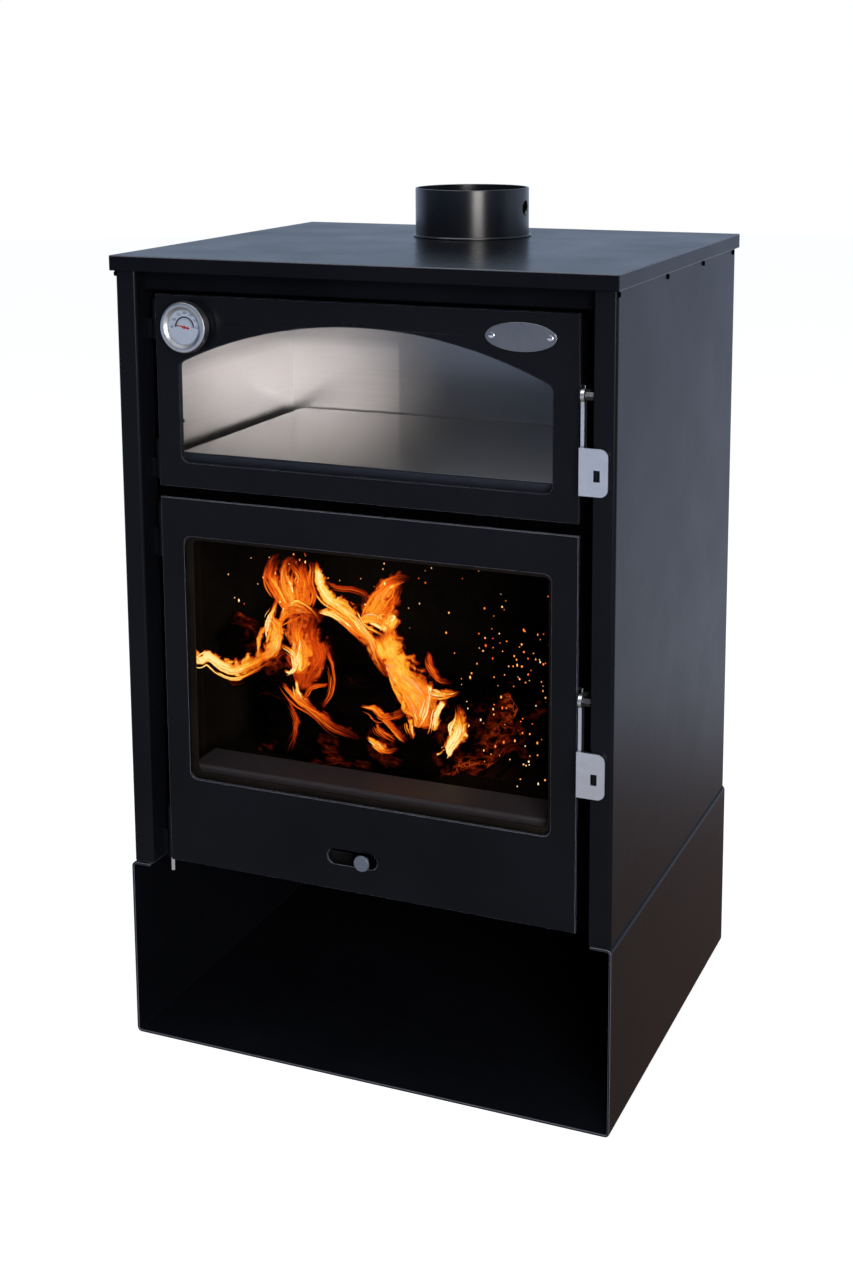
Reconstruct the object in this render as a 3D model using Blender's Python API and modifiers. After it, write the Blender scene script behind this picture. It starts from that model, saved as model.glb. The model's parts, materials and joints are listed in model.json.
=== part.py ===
"""Wood-burning stove with an oven over the fire and a log store under it. Metres, +Z up, front towards -Y."""

import math

import bpy
from mathutils import Matrix, Vector

# Clearance between pieces that touch
FIT = 0.0003
# Clearance round a pin or bolt that turns
RUN = 0.0003

# Lid and overall size
LID_WIDTH = 0.635
LID_DEPTH = 0.542
LID_TOP = 1.000
LID_LIP = 0.0185
LID_SHEET = 0.003
LID_SIDE_GAP = 0.0005
LID_EDGE = 0.0008

# Body: side panels, stiles and back
BODY_SHEET = 0.003
BODY_BEND = 0.003
BODY_SETBACK = 0.0075
BODY_REAR_GAP = 0.0055
STILE_WIDTH = 0.0275
BACK_FLANGE = 0.016
LOUVRE_COUNT = 7
LOUVRE_WIDTH = 0.008
LOUVRE_LENGTH = 0.070
LOUVRE_PITCH = 0.050
LOUVRE_FOOT = 0.0985
LOUVRE_DROP = 0.100

# Base: the log store
BASE_HEIGHT = 0.2312
BASE_SHEET = 0.003
BASE_BEND = 0.0045
BASE_PROUD = 0.0022
BASE_SETBACK = 0.004
BASE_FLANGE = 0.026

# Header strip over the oven door
HEADER_DEPTH = 0.0156
HEADER_HEIGHT = 0.043
HEADER_SHEET = 0.002

# Inner body
PLATE_SETBACK = 0.0436
PLATE_THICK = 0.005
INNER_SIDE_GAP = 0.014
INNER_REAR_GAP = 0.032
INNER_SHEET = 0.004
INNER_DROP = 0.028
FLOOR_RISE = 0.0222
OPENING_LAP = 0.018
FIRE_SILL_RISE = 0.0008
FIRE_OPENING_DROP = 0.0193
OPENING_CORNER = 0.006

# Flue
FLUE_RADIUS = 0.075
FLUE_SHEET = 0.003
FLUE_X = -0.008
FLUE_REAR = 0.1437
FLUE_HEIGHT = 0.0638
FLUE_RING_WIDTH = 0.0026
FLUE_RING_HEIGHT = 0.003
FLUE_HOLE_RADIUS = 0.010
FLUE_HOLE_RISE = 0.038

# Fire side
ASH_PAN_HEIGHT = 0.044
ASH_PAN_WIDTH = 0.256
ASH_PAN_GAP = 0.0074
ASH_PAN_REAR_GAP = 0.090
ASH_PAN_SHEET = 0.002
ASH_RIM = 0.010
FIRE_FLOOR_RISE = 0.0493
FIRE_FLOOR_THICK = 0.004
BRICK_THICK = 0.025
BRICK_FRONT = 0.116
BRICK_DROP = 0.0993
BAFFLE_THICK = 0.020
BAFFLE_FRONT = 0.150
GRATE_WIDTH = 0.240
GRATE_DEPTH = 0.180
GRATE_FRONT = 0.200
GRATE_THICK = 0.018
GRATE_SLOTS = 9
GRATE_SLOT = 0.009
ASH_HOLE_RIM = 0.012
GUARD_RISE = 0.007
GUARD_BACK = 0.110
GUARD_SHEET = 0.003
GUARD_LEG = 0.012

# Oven
OVEN_SIDE_GAP = 0.0365
OVEN_FLOOR_RISE = 0.0259
OVEN_TOP_DROP = 0.0188
OVEN_REAR_GAP = 0.141
OVEN_SHEET = 0.003
TRAY_PROUD = 0.0056
TRAY_SHEET = 0.002
TRAY_LIP = 0.014
TRAY_BACK_GAP = 0.004
TRAY_SIDE_GAP = 0.003

# Doors
DOOR_STANDOFF = 0.023
DOOR_SIDE_GAP = 0.0185
DOOR_SHEET = 0.005
DOOR_EDGE = 0.0010
OVEN_DOOR_HEIGHT = 0.2354
OVEN_DOOR_DROP = 0.0032
FIRE_DOOR_RISE = 0.0038
DOORS_APART = 0.0131
WINDOW_MARGIN = 0.03175
WINDOW_CORNER = 0.010
OVEN_WINDOW_FOOT = 0.0316
OVEN_WINDOW_SHOULDER = 0.0828
OVEN_WINDOW_DROP = 0.0288
FIRE_WINDOW_FOOT = 0.1127
FIRE_WINDOW_DROP = 0.0478
RIM_INSET = 0.004
RIM_WIDTH = 0.0146
RIM_DEPTH = 0.0161
ROPE_RADIUS = 0.0047
GLASS_THICK = 0.004
OVEN_GLASS_LAP = 0.007
FIRE_GLASS_LAP = 0.011
GLASS_FRAME_THICK = 0.002
GLASS_FRAME_LAP = 0.012
OVEN_FRAME_IN = 0.003
FIRE_FRAME_IN = -0.006

# Hinges
HINGE_OUT = 0.004
HINGE_DEPTH = 0.0114
KNUCKLE_RADIUS = 0.006
PIN_RADIUS = 0.0035
LEAF_THICK = 0.0035
KNUCKLE_GAP = 0.0005
FIRE_KNUCKLE = 0.034
OVEN_KNUCKLE = 0.024
FIRE_HINGE_FOOT = -0.0003
FIRE_HINGE_DROP = 0.0773
OVEN_HINGE_FOOT = 0.0076
OVEN_HINGE_DROP = 0.0558
LONG_PIN_TAIL = 0.019
PIN_TAIL = 0.002

# Latch levers
LEVER_OUT = 0.0047
LEVER_THICK = 0.004
LEVER_PROUD = 0.0066
OVEN_PIVOT_DROP = 0.0888
FIRE_PIVOT_DROP = 0.1873
EYE_RADIUS = 0.008
BLADE_WIDTH = 0.010
BOLT_RADIUS = 0.003
BOLT_HEAD = 0.001
BOLT_TAIL = 0.003
COLLAR_RADIUS = 0.0050
COLLAR_GAP = 0.0008
GRIP_TOP = 0.056
GRIP_BOTTOM = 0.1095
GRIP_WIDTH = 0.0334
GRIP_PROUD = 0.011
GRIP_THICK = 0.003
GRIP_CORNER = 0.009
GRIP_FOOT = 0.024
GRIP_HOLE_X = 0.0205
GRIP_HOLE_DROP = 0.0865
GRIP_HOLE_WIDTH = 0.0074
GRIP_HOLE_HEIGHT = 0.013
HOOK_REACH = 0.024
HOOK_LENGTH = 0.010
HOOK_INSIDE = 0.0042
HOOK_RISE = 0.0032
HOOK_DROP = 0.003
STRIKE_RADIUS = 0.003
STRIKE_DEPTH = 0.0124
STRIKE_LENGTH = 0.0067

# Thermometer
THERMO_INSET = 0.048
THERMO_DROP = 0.037
THERMO_PROUD = 0.019
BEZEL_RADIUS = 0.031
BEZEL_DEPTH = 0.0104
BEZEL_LIP = 0.0215
CASE_RADIUS = 0.028
CASE_PROUD = 0.0118
PROBE_RADIUS = 0.004
PROBE_DEPTH = 0.0274
DIAL_THICK = 0.0004
LENS_THICK = 0.001
LENS_RADIUS = 0.024
NEEDLE_LONG = 0.0155
NEEDLE_SHORT = 0.0065
NEEDLE_THICK = 0.0005
NEEDLE_TILT = 12

# Oval plate
BADGE_INSET = 0.0685
BADGE_DROP = 0.029
BADGE_WIDTH = 0.084
BADGE_HEIGHT = 0.033
BADGE_THICK = 0.0015
RIVET_SPREAD = 0.0345
RIVET_RADIUS = 0.0035
RIVET_SHANK = 0.002

# Air control
AIR_SLOT_LEFT = -0.0476
AIR_SLOT_RIGHT = 0.0170
AIR_SLOT_HEIGHT = 0.0186
AIR_RISE = 0.0427
AIR_KNOB_X = 0.0006
AIR_KNOB_RADIUS = 0.010
AIR_KNOB_PROUD = 0.009
AIR_KNOB_THICK = 0.003
AIR_STEM_RADIUS = 0.004
SHUTTER_LENGTH = 0.070
SHUTTER_THICK = 0.0015
SHUTTER_HEIGHT = 0.034
CHANNEL_LENGTH = 0.170
CHANNEL_SHEET = 0.0015

# Widths and depths that follow from the sizes above
HALF_LID = LID_WIDTH / 2
BODY_HALF = HALF_LID - LID_SHEET - LID_SIDE_GAP
BODY_BACK = LID_DEPTH - LID_SHEET - BODY_REAR_GAP
STILE_INNER = BODY_HALF - STILE_WIDTH
INNER_HALF = BODY_HALF - INNER_SIDE_GAP
INNER_CLEAR = INNER_HALF - INNER_SHEET - FIT
INNER_BACK = LID_DEPTH - INNER_REAR_GAP
DOOR_HALF = STILE_INNER - DOOR_SIDE_GAP
OPENING_HALF = DOOR_HALF - OPENING_LAP
WINDOW_HALF = DOOR_HALF - WINDOW_MARGIN
OVEN_HALF = INNER_HALF - OVEN_SIDE_GAP
OVEN_BACK = INNER_BACK - OVEN_REAR_GAP
HINGE_X = -DOOR_HALF - HINGE_OUT
LEVER_X = DOOR_HALF + LEVER_OUT
THERMO_X = -DOOR_HALF + THERMO_INSET
BADGE_X = DOOR_HALF - BADGE_INSET
FLUE_SETBACK = LID_DEPTH - FLUE_REAR

PLATE_BACK = PLATE_SETBACK + PLATE_THICK
HEADER_SETBACK = PLATE_SETBACK - HEADER_DEPTH
TRAY_FRONT = PLATE_SETBACK - TRAY_PROUD
ASH_PAN_FRONT = PLATE_BACK + ASH_PAN_GAP
ASH_PAN_BACK = INNER_BACK - ASH_PAN_REAR_GAP
DOOR_SETBACK = PLATE_SETBACK - DOOR_STANDOFF
DOOR_BACK = DOOR_SETBACK + DOOR_SHEET
RIM_FRONT = DOOR_BACK + FIT
GLASS_FRONT = DOOR_BACK + FIT
HINGE_SETBACK = DOOR_SETBACK + HINGE_DEPTH
STRIKE_SETBACK = DOOR_SETBACK + STRIKE_DEPTH
LEVER_SETBACK = DOOR_SETBACK - LEVER_PROUD
GRIP_SETBACK = LEVER_SETBACK - GRIP_PROUD
THERMO_FRONT = DOOR_SETBACK - THERMO_PROUD
CASE_FRONT = DOOR_SETBACK - CASE_PROUD
PROBE_END = DOOR_SETBACK + PROBE_DEPTH
AIR_KNOB_FRONT = DOOR_SETBACK - AIR_KNOB_PROUD

# Heights that follow from the sizes above
BODY_LOW = BASE_HEIGHT + FIT
BODY_HIGH = LID_TOP - LID_SHEET - FIT
PLATE_LOW = BODY_LOW + FIT
LOUVRE_LOW = BODY_LOW + LOUVRE_FOOT
LOUVRE_HIGH = LID_TOP - LOUVRE_DROP
HEADER_BOTTOM = LID_TOP - HEADER_HEIGHT
INNER_TOP = LID_TOP - INNER_DROP
FLUE_TOP = LID_TOP + FLUE_HEIGHT
FLUE_HOLE_Z = LID_TOP + FLUE_HOLE_RISE
OVEN_DOOR_HIGH = HEADER_BOTTOM - OVEN_DOOR_DROP
OVEN_DOOR_LOW = OVEN_DOOR_HIGH - OVEN_DOOR_HEIGHT
OVEN_WINDOW_LOW = OVEN_DOOR_LOW + OVEN_WINDOW_FOOT
OVEN_WINDOW_SIDE = OVEN_DOOR_HIGH - OVEN_WINDOW_SHOULDER
OVEN_WINDOW_HIGH = OVEN_DOOR_HIGH - OVEN_WINDOW_DROP
OVEN_LOW = OVEN_DOOR_LOW + OVEN_FLOOR_RISE
OVEN_HIGH = OVEN_DOOR_HIGH - OVEN_TOP_DROP
OVEN_HINGE_LOW = OVEN_DOOR_LOW + OVEN_HINGE_FOOT
OVEN_HINGE_HIGH = OVEN_DOOR_HIGH - OVEN_HINGE_DROP
OVEN_PIVOT_Z = OVEN_DOOR_HIGH - OVEN_PIVOT_DROP
THERMO_Z = OVEN_DOOR_HIGH - THERMO_DROP
BADGE_Z = OVEN_DOOR_HIGH - BADGE_DROP
FIRE_DOOR_HIGH = OVEN_DOOR_LOW - DOORS_APART
FIRE_DOOR_LOW = BODY_LOW + FIRE_DOOR_RISE
FIRE_WINDOW_LOW = FIRE_DOOR_LOW + FIRE_WINDOW_FOOT
FIRE_WINDOW_HIGH = FIRE_DOOR_HIGH - FIRE_WINDOW_DROP
FIRE_HINGE_LOW = FIRE_DOOR_LOW + FIRE_HINGE_FOOT
FIRE_HINGE_HIGH = FIRE_DOOR_HIGH - FIRE_HINGE_DROP
FIRE_PIVOT_Z = FIRE_DOOR_HIGH - FIRE_PIVOT_DROP
AIR_Z = FIRE_DOOR_LOW + AIR_RISE
FLOOR_TOP = BODY_LOW + FLOOR_RISE
FIRE_FLOOR_Z = FLOOR_TOP + FIRE_FLOOR_RISE
FIRE_OPENING_LOW = FLOOR_TOP + FIRE_SILL_RISE
FIRE_OPENING_HIGH = FIRE_DOOR_HIGH - FIRE_OPENING_DROP
GUARD_TOP = FIRE_WINDOW_LOW + GUARD_RISE
BRICK_TOP = OVEN_LOW - BRICK_DROP


def front(setback):
    """World y of a distance behind the lid's front edge."""
    return setback - LID_DEPTH / 2


# Scene and materials

for thing in list(bpy.data.objects):
    bpy.data.objects.remove(thing)

stove = bpy.data.collections.new("stove_with_oven")
helpers = bpy.data.collections.new("helpers")
for group in (stove, helpers):
    bpy.context.scene.collection.children.link(group)
helpers.hide_render = True


def material(name, color, metallic, roughness, alpha=1.0):
    made = bpy.data.materials.new(name)
    made.use_nodes = True
    shader = made.node_tree.nodes["Principled BSDF"]
    shader.inputs["Base Color"].default_value = (*color, 1)
    shader.inputs["Metallic"].default_value = metallic
    shader.inputs["Roughness"].default_value = roughness
    shader.inputs["Alpha"].default_value = alpha
    made.diffuse_color = (*color, alpha)
    return made


BLACK = material("stove_paint", (0.030, 0.033, 0.042), 0.3, 0.55)
CAST = material("cast_iron", (0.025, 0.025, 0.027), 0.5, 0.65)
STAINLESS = material("stainless", (0.62, 0.61, 0.60), 1.0, 0.30)
SATIN = material("satin_steel", (0.72, 0.72, 0.74), 1.0, 0.25)
CHROME = material("chrome", (0.85, 0.85, 0.86), 1.0, 0.08)
BRICK = material("firebrick", (0.42, 0.36, 0.28), 0.0, 0.95)
ROPE = material("rope_seal", (0.20, 0.20, 0.19), 0.0, 1.0)
OVEN_GLASS = material("oven_glass", (0.90, 0.92, 0.92), 0.0, 0.03, 0.25)
FIRE_GLASS = material("fire_glass", (0.05, 0.05, 0.05), 0.0, 0.03, 0.45)
WHITE = material("dial_white", (0.85, 0.87, 0.90), 0.0, 0.5)
RED = material("needle_red", (0.60, 0.03, 0.03), 0.0, 0.4)


# Outlines

def arc(center, radius, start, end, steps):
    """Points on a circle from one angle to another, in degrees."""
    turns = [math.radians(start + (end - start) * i / steps) for i in range(steps + 1)]
    return [(center[0] + radius * math.cos(a), center[1] + radius * math.sin(a)) for a in turns]


def circle(center, radius, count=32):
    return arc(center, radius, 0, 360, count)[:-1]


def softened(points, radius, steps=4, closed=True, only=None):
    """The polygon or path with its corners rounded; only lists the corners to round."""
    count = len(points)
    made = []
    for i, here in enumerate(points):
        at_end = not closed and i in (0, count - 1)
        if at_end or radius <= 0 or (only is not None and i not in only):
            made.append(tuple(here))
            continue
        p = Vector(here)
        back = (Vector(points[i - 1]) - p).normalized()
        ahead = (Vector(points[(i + 1) % count]) - p).normalized()
        half = back.angle(ahead) / 2
        reach = radius / math.tan(half)
        middle = p + (back + ahead).normalized() * radius / math.sin(half)
        first = p + back * reach - middle
        last = p + ahead * reach - middle
        turn = math.atan2(first.x * last.y - first.y * last.x, first.dot(last))
        for k in range(steps + 1):
            made.append(tuple(middle + Matrix.Rotation(turn * k / steps, 2) @ first))
    return made


def box_outline(low, high, radius=0.0, steps=4):
    corners = [(low[0], low[1]), (high[0], low[1]), (high[0], high[1]), (low[0], high[1])]
    return softened(corners, radius, steps)


def folded(points, thick, bend, steps=4):
    """Outline of a sheet that follows a path, with a rounded bend at each corner of the path."""
    path = [Vector(p) for p in softened(points, bend, steps, closed=False)]
    sides = ([], [])
    for i, p in enumerate(path):
        before = (p - path[i - 1]).normalized() if i else (path[1] - p).normalized()
        after = (path[i + 1] - p).normalized() if i < len(path) - 1 else before
        along = (before + after).normalized()
        across = Vector((-along.y, along.x)) * thick / 2 / max(along.dot(before), 0.3)
        sides[0].append(tuple(p + across))
        sides[1].append(tuple(p - across))
    return sides[0] + sides[1][::-1]


def arched(half, low, side, top, radius, grow=0.0):
    """Window outline with an arched top, grown outwards by grow."""
    rise = top - side
    bow = (half ** 2 + rise ** 2) / (2 * rise)
    center = (0, top - bow)
    reach = bow + grow
    wide = half + grow
    spread = math.degrees(math.asin(wide / reach))
    over = arc(center, reach, 90 - spread, 90 + spread, 20)
    corners = [(-wide, low - grow), (wide, low - grow)] + over
    return softened(corners, radius + max(grow, 0), 4, only=(0, 1, 2, len(corners) - 1))


# Solids

PLANES = {
    "X": Matrix(((0, 0, 1, 0), (1, 0, 0, 0), (0, 1, 0, 0), (0, 0, 0, 1))),
    "Y": Matrix(((1, 0, 0, 0), (0, 0, 1, 0), (0, 1, 0, 0), (0, 0, 0, 1))),
    "Z": Matrix.Identity(4),
}


def as_mesh(source, name, place, group, paint):
    """A mesh object made from a curve, placed, welded and facing outwards."""
    group.objects.link(source)
    bpy.context.view_layer.update()
    graph = bpy.context.evaluated_depsgraph_get()
    mesh = bpy.data.meshes.new_from_object(source.evaluated_get(graph))
    curve = source.data
    bpy.data.objects.remove(source)
    bpy.data.curves.remove(curve)
    mesh.transform(place)
    made = bpy.data.objects.new(name, mesh)
    group.objects.link(made)
    bpy.context.view_layer.objects.active = made
    bpy.ops.object.mode_set(mode="EDIT")
    bpy.ops.mesh.select_all(action="SELECT")
    bpy.ops.mesh.remove_doubles(threshold=0.000002)
    bpy.ops.mesh.normals_make_consistent(inside=False)
    bpy.ops.object.mode_set(mode="OBJECT")
    dress(made, paint)
    return made


def dress(made, paint):
    made.data.materials.clear()
    if paint:
        made.data.materials.append(paint)
    else:
        made.display_type = "WIRE"
        made.hide_render = True


def prism(name, outlines, axis, low, high, paint=None):
    """A flat outline with holes, extruded along an axis from low to high."""
    data = bpy.data.curves.new(name, "CURVE")
    data.dimensions = "2D"
    data.fill_mode = "BOTH"
    data.extrude = (high - low) / 2
    for outline in outlines:
        spline = data.splines.new("POLY")
        spline.points.add(len(outline) - 1)
        for point, (u, v) in zip(spline.points, outline):
            point.co = (u, v, 0, 1)
        spline.use_cyclic_u = True
    source = bpy.data.objects.new(name + "_outline", data)
    place = PLANES[axis] @ Matrix.Translation((0, 0, (low + high) / 2))
    return as_mesh(source, name, place, stove if paint else helpers, paint)


def box(name, low, high, paint=None):
    outline = box_outline((low[0], low[1]), (high[0], high[1]))
    return prism(name, [outline], "Z", low[2], high[2], paint)


def rod(name, axis, center, radius, low, high, paint=None, count=24):
    """A cylinder along an axis; center gives the other two coordinates."""
    turn = {"X": (0, math.pi / 2, 0), "Y": (-math.pi / 2, 0, 0), "Z": (0, 0, 0)}[axis]
    middle = (low + high) / 2
    spot = {
        "X": (middle, center[0], center[1]),
        "Y": (center[0], middle, center[1]),
        "Z": (center[0], center[1], middle),
    }[axis]
    bpy.ops.mesh.primitive_cylinder_add(
        vertices=count, radius=radius, depth=high - low, location=spot, rotation=turn
    )
    made = bpy.context.object
    bpy.ops.object.transform_apply(location=True, rotation=True, scale=True)
    made.name = name
    for owner in list(made.users_collection):
        owner.objects.unlink(made)
    (stove if paint else helpers).objects.link(made)
    dress(made, paint)
    return made


def turned(name, profile, axis, center, paint, steps=40):
    """A closed profile of (radius, height) points turned about an axis."""
    mesh = bpy.data.meshes.new(name)
    count = len(profile)
    mesh.from_pydata([(r, 0, h) for r, h in profile], [(i, (i + 1) % count) for i in range(count)], [])
    made = bpy.data.objects.new(name, mesh)
    stove.objects.link(made)
    screw = made.modifiers.new("turn", "SCREW")
    screw.steps = steps
    screw.render_steps = steps
    screw.use_merge_vertices = True
    screw.merge_threshold = 0.000005
    screw.use_smooth_shade = False
    bpy.context.view_layer.update()
    graph = bpy.context.evaluated_depsgraph_get()
    solid = bpy.data.meshes.new_from_object(made.evaluated_get(graph))
    made.modifiers.clear()
    made.data = solid
    bpy.data.meshes.remove(mesh)
    stand = Matrix.Identity(4) if axis == "Z" else Matrix.Rotation(math.pi / 2, 4, "X")
    solid.transform(Matrix.Translation(center) @ stand)
    bpy.context.view_layer.objects.active = made
    bpy.ops.object.mode_set(mode="EDIT")
    bpy.ops.mesh.select_all(action="SELECT")
    bpy.ops.mesh.normals_make_consistent(inside=False)
    bpy.ops.object.mode_set(mode="OBJECT")
    dress(made, paint)
    return made


def rope(name, points, radius, y, paint):
    """A round cord along a closed path in an XZ plane."""
    data = bpy.data.curves.new(name, "CURVE")
    data.dimensions = "3D"
    data.bevel_depth = radius
    data.bevel_resolution = 2
    spline = data.splines.new("POLY")
    spline.points.add(len(points) - 1)
    for point, (u, v) in zip(spline.points, points):
        point.co = (u, y, v, 1)
    spline.use_cyclic_u = True
    source = bpy.data.objects.new(name + "_path", data)
    return as_mesh(source, name, Matrix.Identity(4), stove, paint)


def combine(target, others, operation):
    """Applies one exact Boolean for each of the other solids."""
    for i, other in enumerate(others):
        step = target.modifiers.new(f"{operation.lower()}_{i}", "BOOLEAN")
        step.operation = operation
        step.solver = "EXACT"
        step.object = other
    return target


def cut(target, *others):
    return combine(target, others, "DIFFERENCE")


def join(target, *others):
    return combine(target, others, "UNION")


def soften(target, width, angle=40, segments=1):
    step = target.modifiers.new("edges", "BEVEL")
    step.width = width
    step.segments = segments
    step.limit_method = "ANGLE"
    step.angle_limit = math.radians(angle)
    return target


# Base

base_half = BODY_HALF + BASE_PROUD
base_mid = base_half - BASE_SHEET / 2
flange_z = BASE_HEIGHT - BASE_SHEET / 2
flange_x = base_half - BASE_FLANGE
base_back_y = BODY_BACK
base_path = [
    (-flange_x, flange_z), (-base_mid, flange_z), (-base_mid, BASE_SHEET / 2),
    (base_mid, BASE_SHEET / 2), (base_mid, flange_z), (flange_x, flange_z),
]
prism(
    "base_shell", [folded(base_path, BASE_SHEET, BASE_BEND)], "Y",
    front(BASE_SETBACK), front(base_back_y), BLACK,
)
base_room = base_half - BASE_SHEET - FIT
prism(
    "base_back",
    [box_outline(
        (-base_room, BASE_SHEET + FIT), (base_room, BASE_HEIGHT - BASE_SHEET - FIT), BASE_BEND
    )],
    "Y", front(base_back_y - BASE_SHEET), front(base_back_y), BLACK,
)

# Outer body

side_mid = BODY_HALF - BODY_SHEET / 2
stile_mid = STILE_INNER + BODY_SHEET / 2
front_mid = front(BODY_SETBACK + BODY_SHEET / 2)
back_mid = front(BODY_BACK - BODY_SHEET / 2)
for name, sign in (("side_left", -1), ("side_right", 1)):
    path = [
        (sign * stile_mid, front(PLATE_SETBACK - FIT)), (sign * stile_mid, front_mid),
        (sign * side_mid, front_mid), (sign * side_mid, back_mid),
        (sign * (BODY_HALF - BACK_FLANGE), back_mid),
    ]
    panel = prism(name, [folded(path, BODY_SHEET, BODY_BEND)], "Z", BODY_LOW, BODY_HIGH, BLACK)
    if sign > 0:
        holes = [
            rod(f"bolt_hole_{z}", "X", (front(LEVER_SETBACK), z), BOLT_RADIUS + FIT,
                STILE_INNER - 0.004, STILE_INNER + BODY_SHEET + 0.004)
            for z in (OVEN_PIVOT_Z, FIRE_PIVOT_Z)
        ]
        cut(panel, *holes)

back_half = BODY_HALF - BODY_SHEET / 2 - BODY_BEND - FIT
louvres = []
for z in (LOUVRE_LOW, LOUVRE_HIGH):
    for i in range(LOUVRE_COUNT):
        x = (i - (LOUVRE_COUNT - 1) / 2) * LOUVRE_PITCH
        low = (x - LOUVRE_WIDTH / 2, z - LOUVRE_LENGTH / 2)
        high = (x + LOUVRE_WIDTH / 2, z + LOUVRE_LENGTH / 2)
        louvres.append(box_outline(low, high, LOUVRE_WIDTH / 2 - 0.0002, 3))
back_face = BODY_BACK - BODY_SHEET - FIT
prism(
    "back_panel", [box_outline((-back_half, BODY_LOW), (back_half, BODY_HIGH))] + louvres,
    "Y", front(back_face - BODY_SHEET), front(back_face), BLACK,
)

header_half = STILE_INNER - FIT
header_path = [
    (front(HEADER_SETBACK + HEADER_SHEET / 2), BODY_HIGH),
    (front(HEADER_SETBACK + HEADER_SHEET / 2), HEADER_BOTTOM + HEADER_SHEET / 2),
    (front(PLATE_SETBACK - FIT), HEADER_BOTTOM + HEADER_SHEET / 2),
]
prism(
    "front_header", [folded(header_path, HEADER_SHEET, HEADER_SHEET)], "X",
    -header_half, header_half, BLACK,
)

lid = box("lid", (-HALF_LID, front(0), LID_TOP - LID_LIP), (HALF_LID, front(LID_DEPTH), LID_TOP), BLACK)
lid_room = box(
    "lid_room",
    (-HALF_LID + LID_SHEET, front(LID_SHEET), LID_TOP - LID_LIP - 0.01),
    (HALF_LID - LID_SHEET, front(LID_DEPTH - LID_SHEET), LID_TOP - LID_SHEET),
)
flue_spot = (FLUE_X, front(FLUE_SETBACK))
lid_hole = rod(
    "lid_hole", "Z", flue_spot, FLUE_RADIUS + FIT, LID_TOP - 0.02, LID_TOP + 0.02, count=64
)
soften(lid, LID_EDGE)
cut(lid, lid_room, lid_hole)

# Flue

smoke_high = INNER_TOP + FIT + INNER_SHEET
flue_low = smoke_high + FIT
collar_profile = [
    (FLUE_RADIUS, FLUE_TOP - 0.0005), (FLUE_RADIUS, flue_low),
    (FLUE_RADIUS - FLUE_SHEET, flue_low), (FLUE_RADIUS - FLUE_SHEET, FLUE_TOP),
    (FLUE_RADIUS - 0.0005, FLUE_TOP),
]
collar = turned("flue_collar", collar_profile, "Z", (*flue_spot, 0), BLACK, 64)
flue_hole = rod(
    "flue_hole", "X", (flue_spot[1], FLUE_HOLE_Z), FLUE_HOLE_RADIUS,
    FLUE_X + FLUE_RADIUS - 0.02, FLUE_X + FLUE_RADIUS + 0.02,
)
cut(collar, flue_hole)
ring_in = FLUE_RADIUS + FIT
ring_low = LID_TOP + FIT
ring_profile = [
    (ring_in + FLUE_RING_WIDTH * 0.5, ring_low + FLUE_RING_HEIGHT),
    (ring_in + FLUE_RING_WIDTH, ring_low + FLUE_RING_HEIGHT * 0.5),
    (ring_in + FLUE_RING_WIDTH, ring_low), (ring_in, ring_low),
    (ring_in, ring_low + FLUE_RING_HEIGHT),
]
turned("flue_ring", ring_profile, "Z", (*flue_spot, 0), BLACK, 64)

# Inner body

floor_half = BODY_HALF - BODY_SHEET - FIT
floor_mid = FLOOR_TOP - INNER_SHEET / 2
floor_path = [
    (-floor_half + INNER_SHEET / 2, BODY_LOW), (-floor_half + INNER_SHEET / 2, floor_mid),
    (floor_half - INNER_SHEET / 2, floor_mid), (floor_half - INNER_SHEET / 2, BODY_LOW),
]
floor_back = back_face - BODY_SHEET - FIT
prism(
    "body_floor", [folded(floor_path, INNER_SHEET, INNER_SHEET)], "Y",
    front(PLATE_BACK + FIT), front(floor_back), CAST,
)

plate_outlines = [
    box_outline((-INNER_HALF, PLATE_LOW), (INNER_HALF, INNER_TOP)),
    box_outline(
        (-OPENING_HALF, FIRE_OPENING_LOW), (OPENING_HALF, FIRE_OPENING_HIGH), OPENING_CORNER, 3
    ),
    box_outline((-OPENING_HALF, OVEN_LOW), (OPENING_HALF, OVEN_HIGH)),
]
prism("front_plate", plate_outlines, "Y", front(PLATE_SETBACK), front(PLATE_BACK), CAST)

wall_front = PLATE_BACK + FIT
wall_mid = INNER_HALF - INNER_SHEET / 2
wall_path = [
    (-wall_mid, front(wall_front)), (-wall_mid, front(INNER_BACK - INNER_SHEET / 2)),
    (wall_mid, front(INNER_BACK - INNER_SHEET / 2)), (wall_mid, front(wall_front)),
]
prism(
    "firebox_shell", [folded(wall_path, INNER_SHEET, INNER_SHEET)], "Z",
    FLOOR_TOP + FIT, INNER_TOP, CAST,
)
prism(
    "smoke_top",
    [
        box_outline((-INNER_HALF, front(PLATE_SETBACK)), (INNER_HALF, front(INNER_BACK))),
        circle(flue_spot, FLUE_RADIUS - FLUE_SHEET, 64),
    ],
    "Z", INNER_TOP + FIT, smoke_high, CAST,
)

# Fire side

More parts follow.
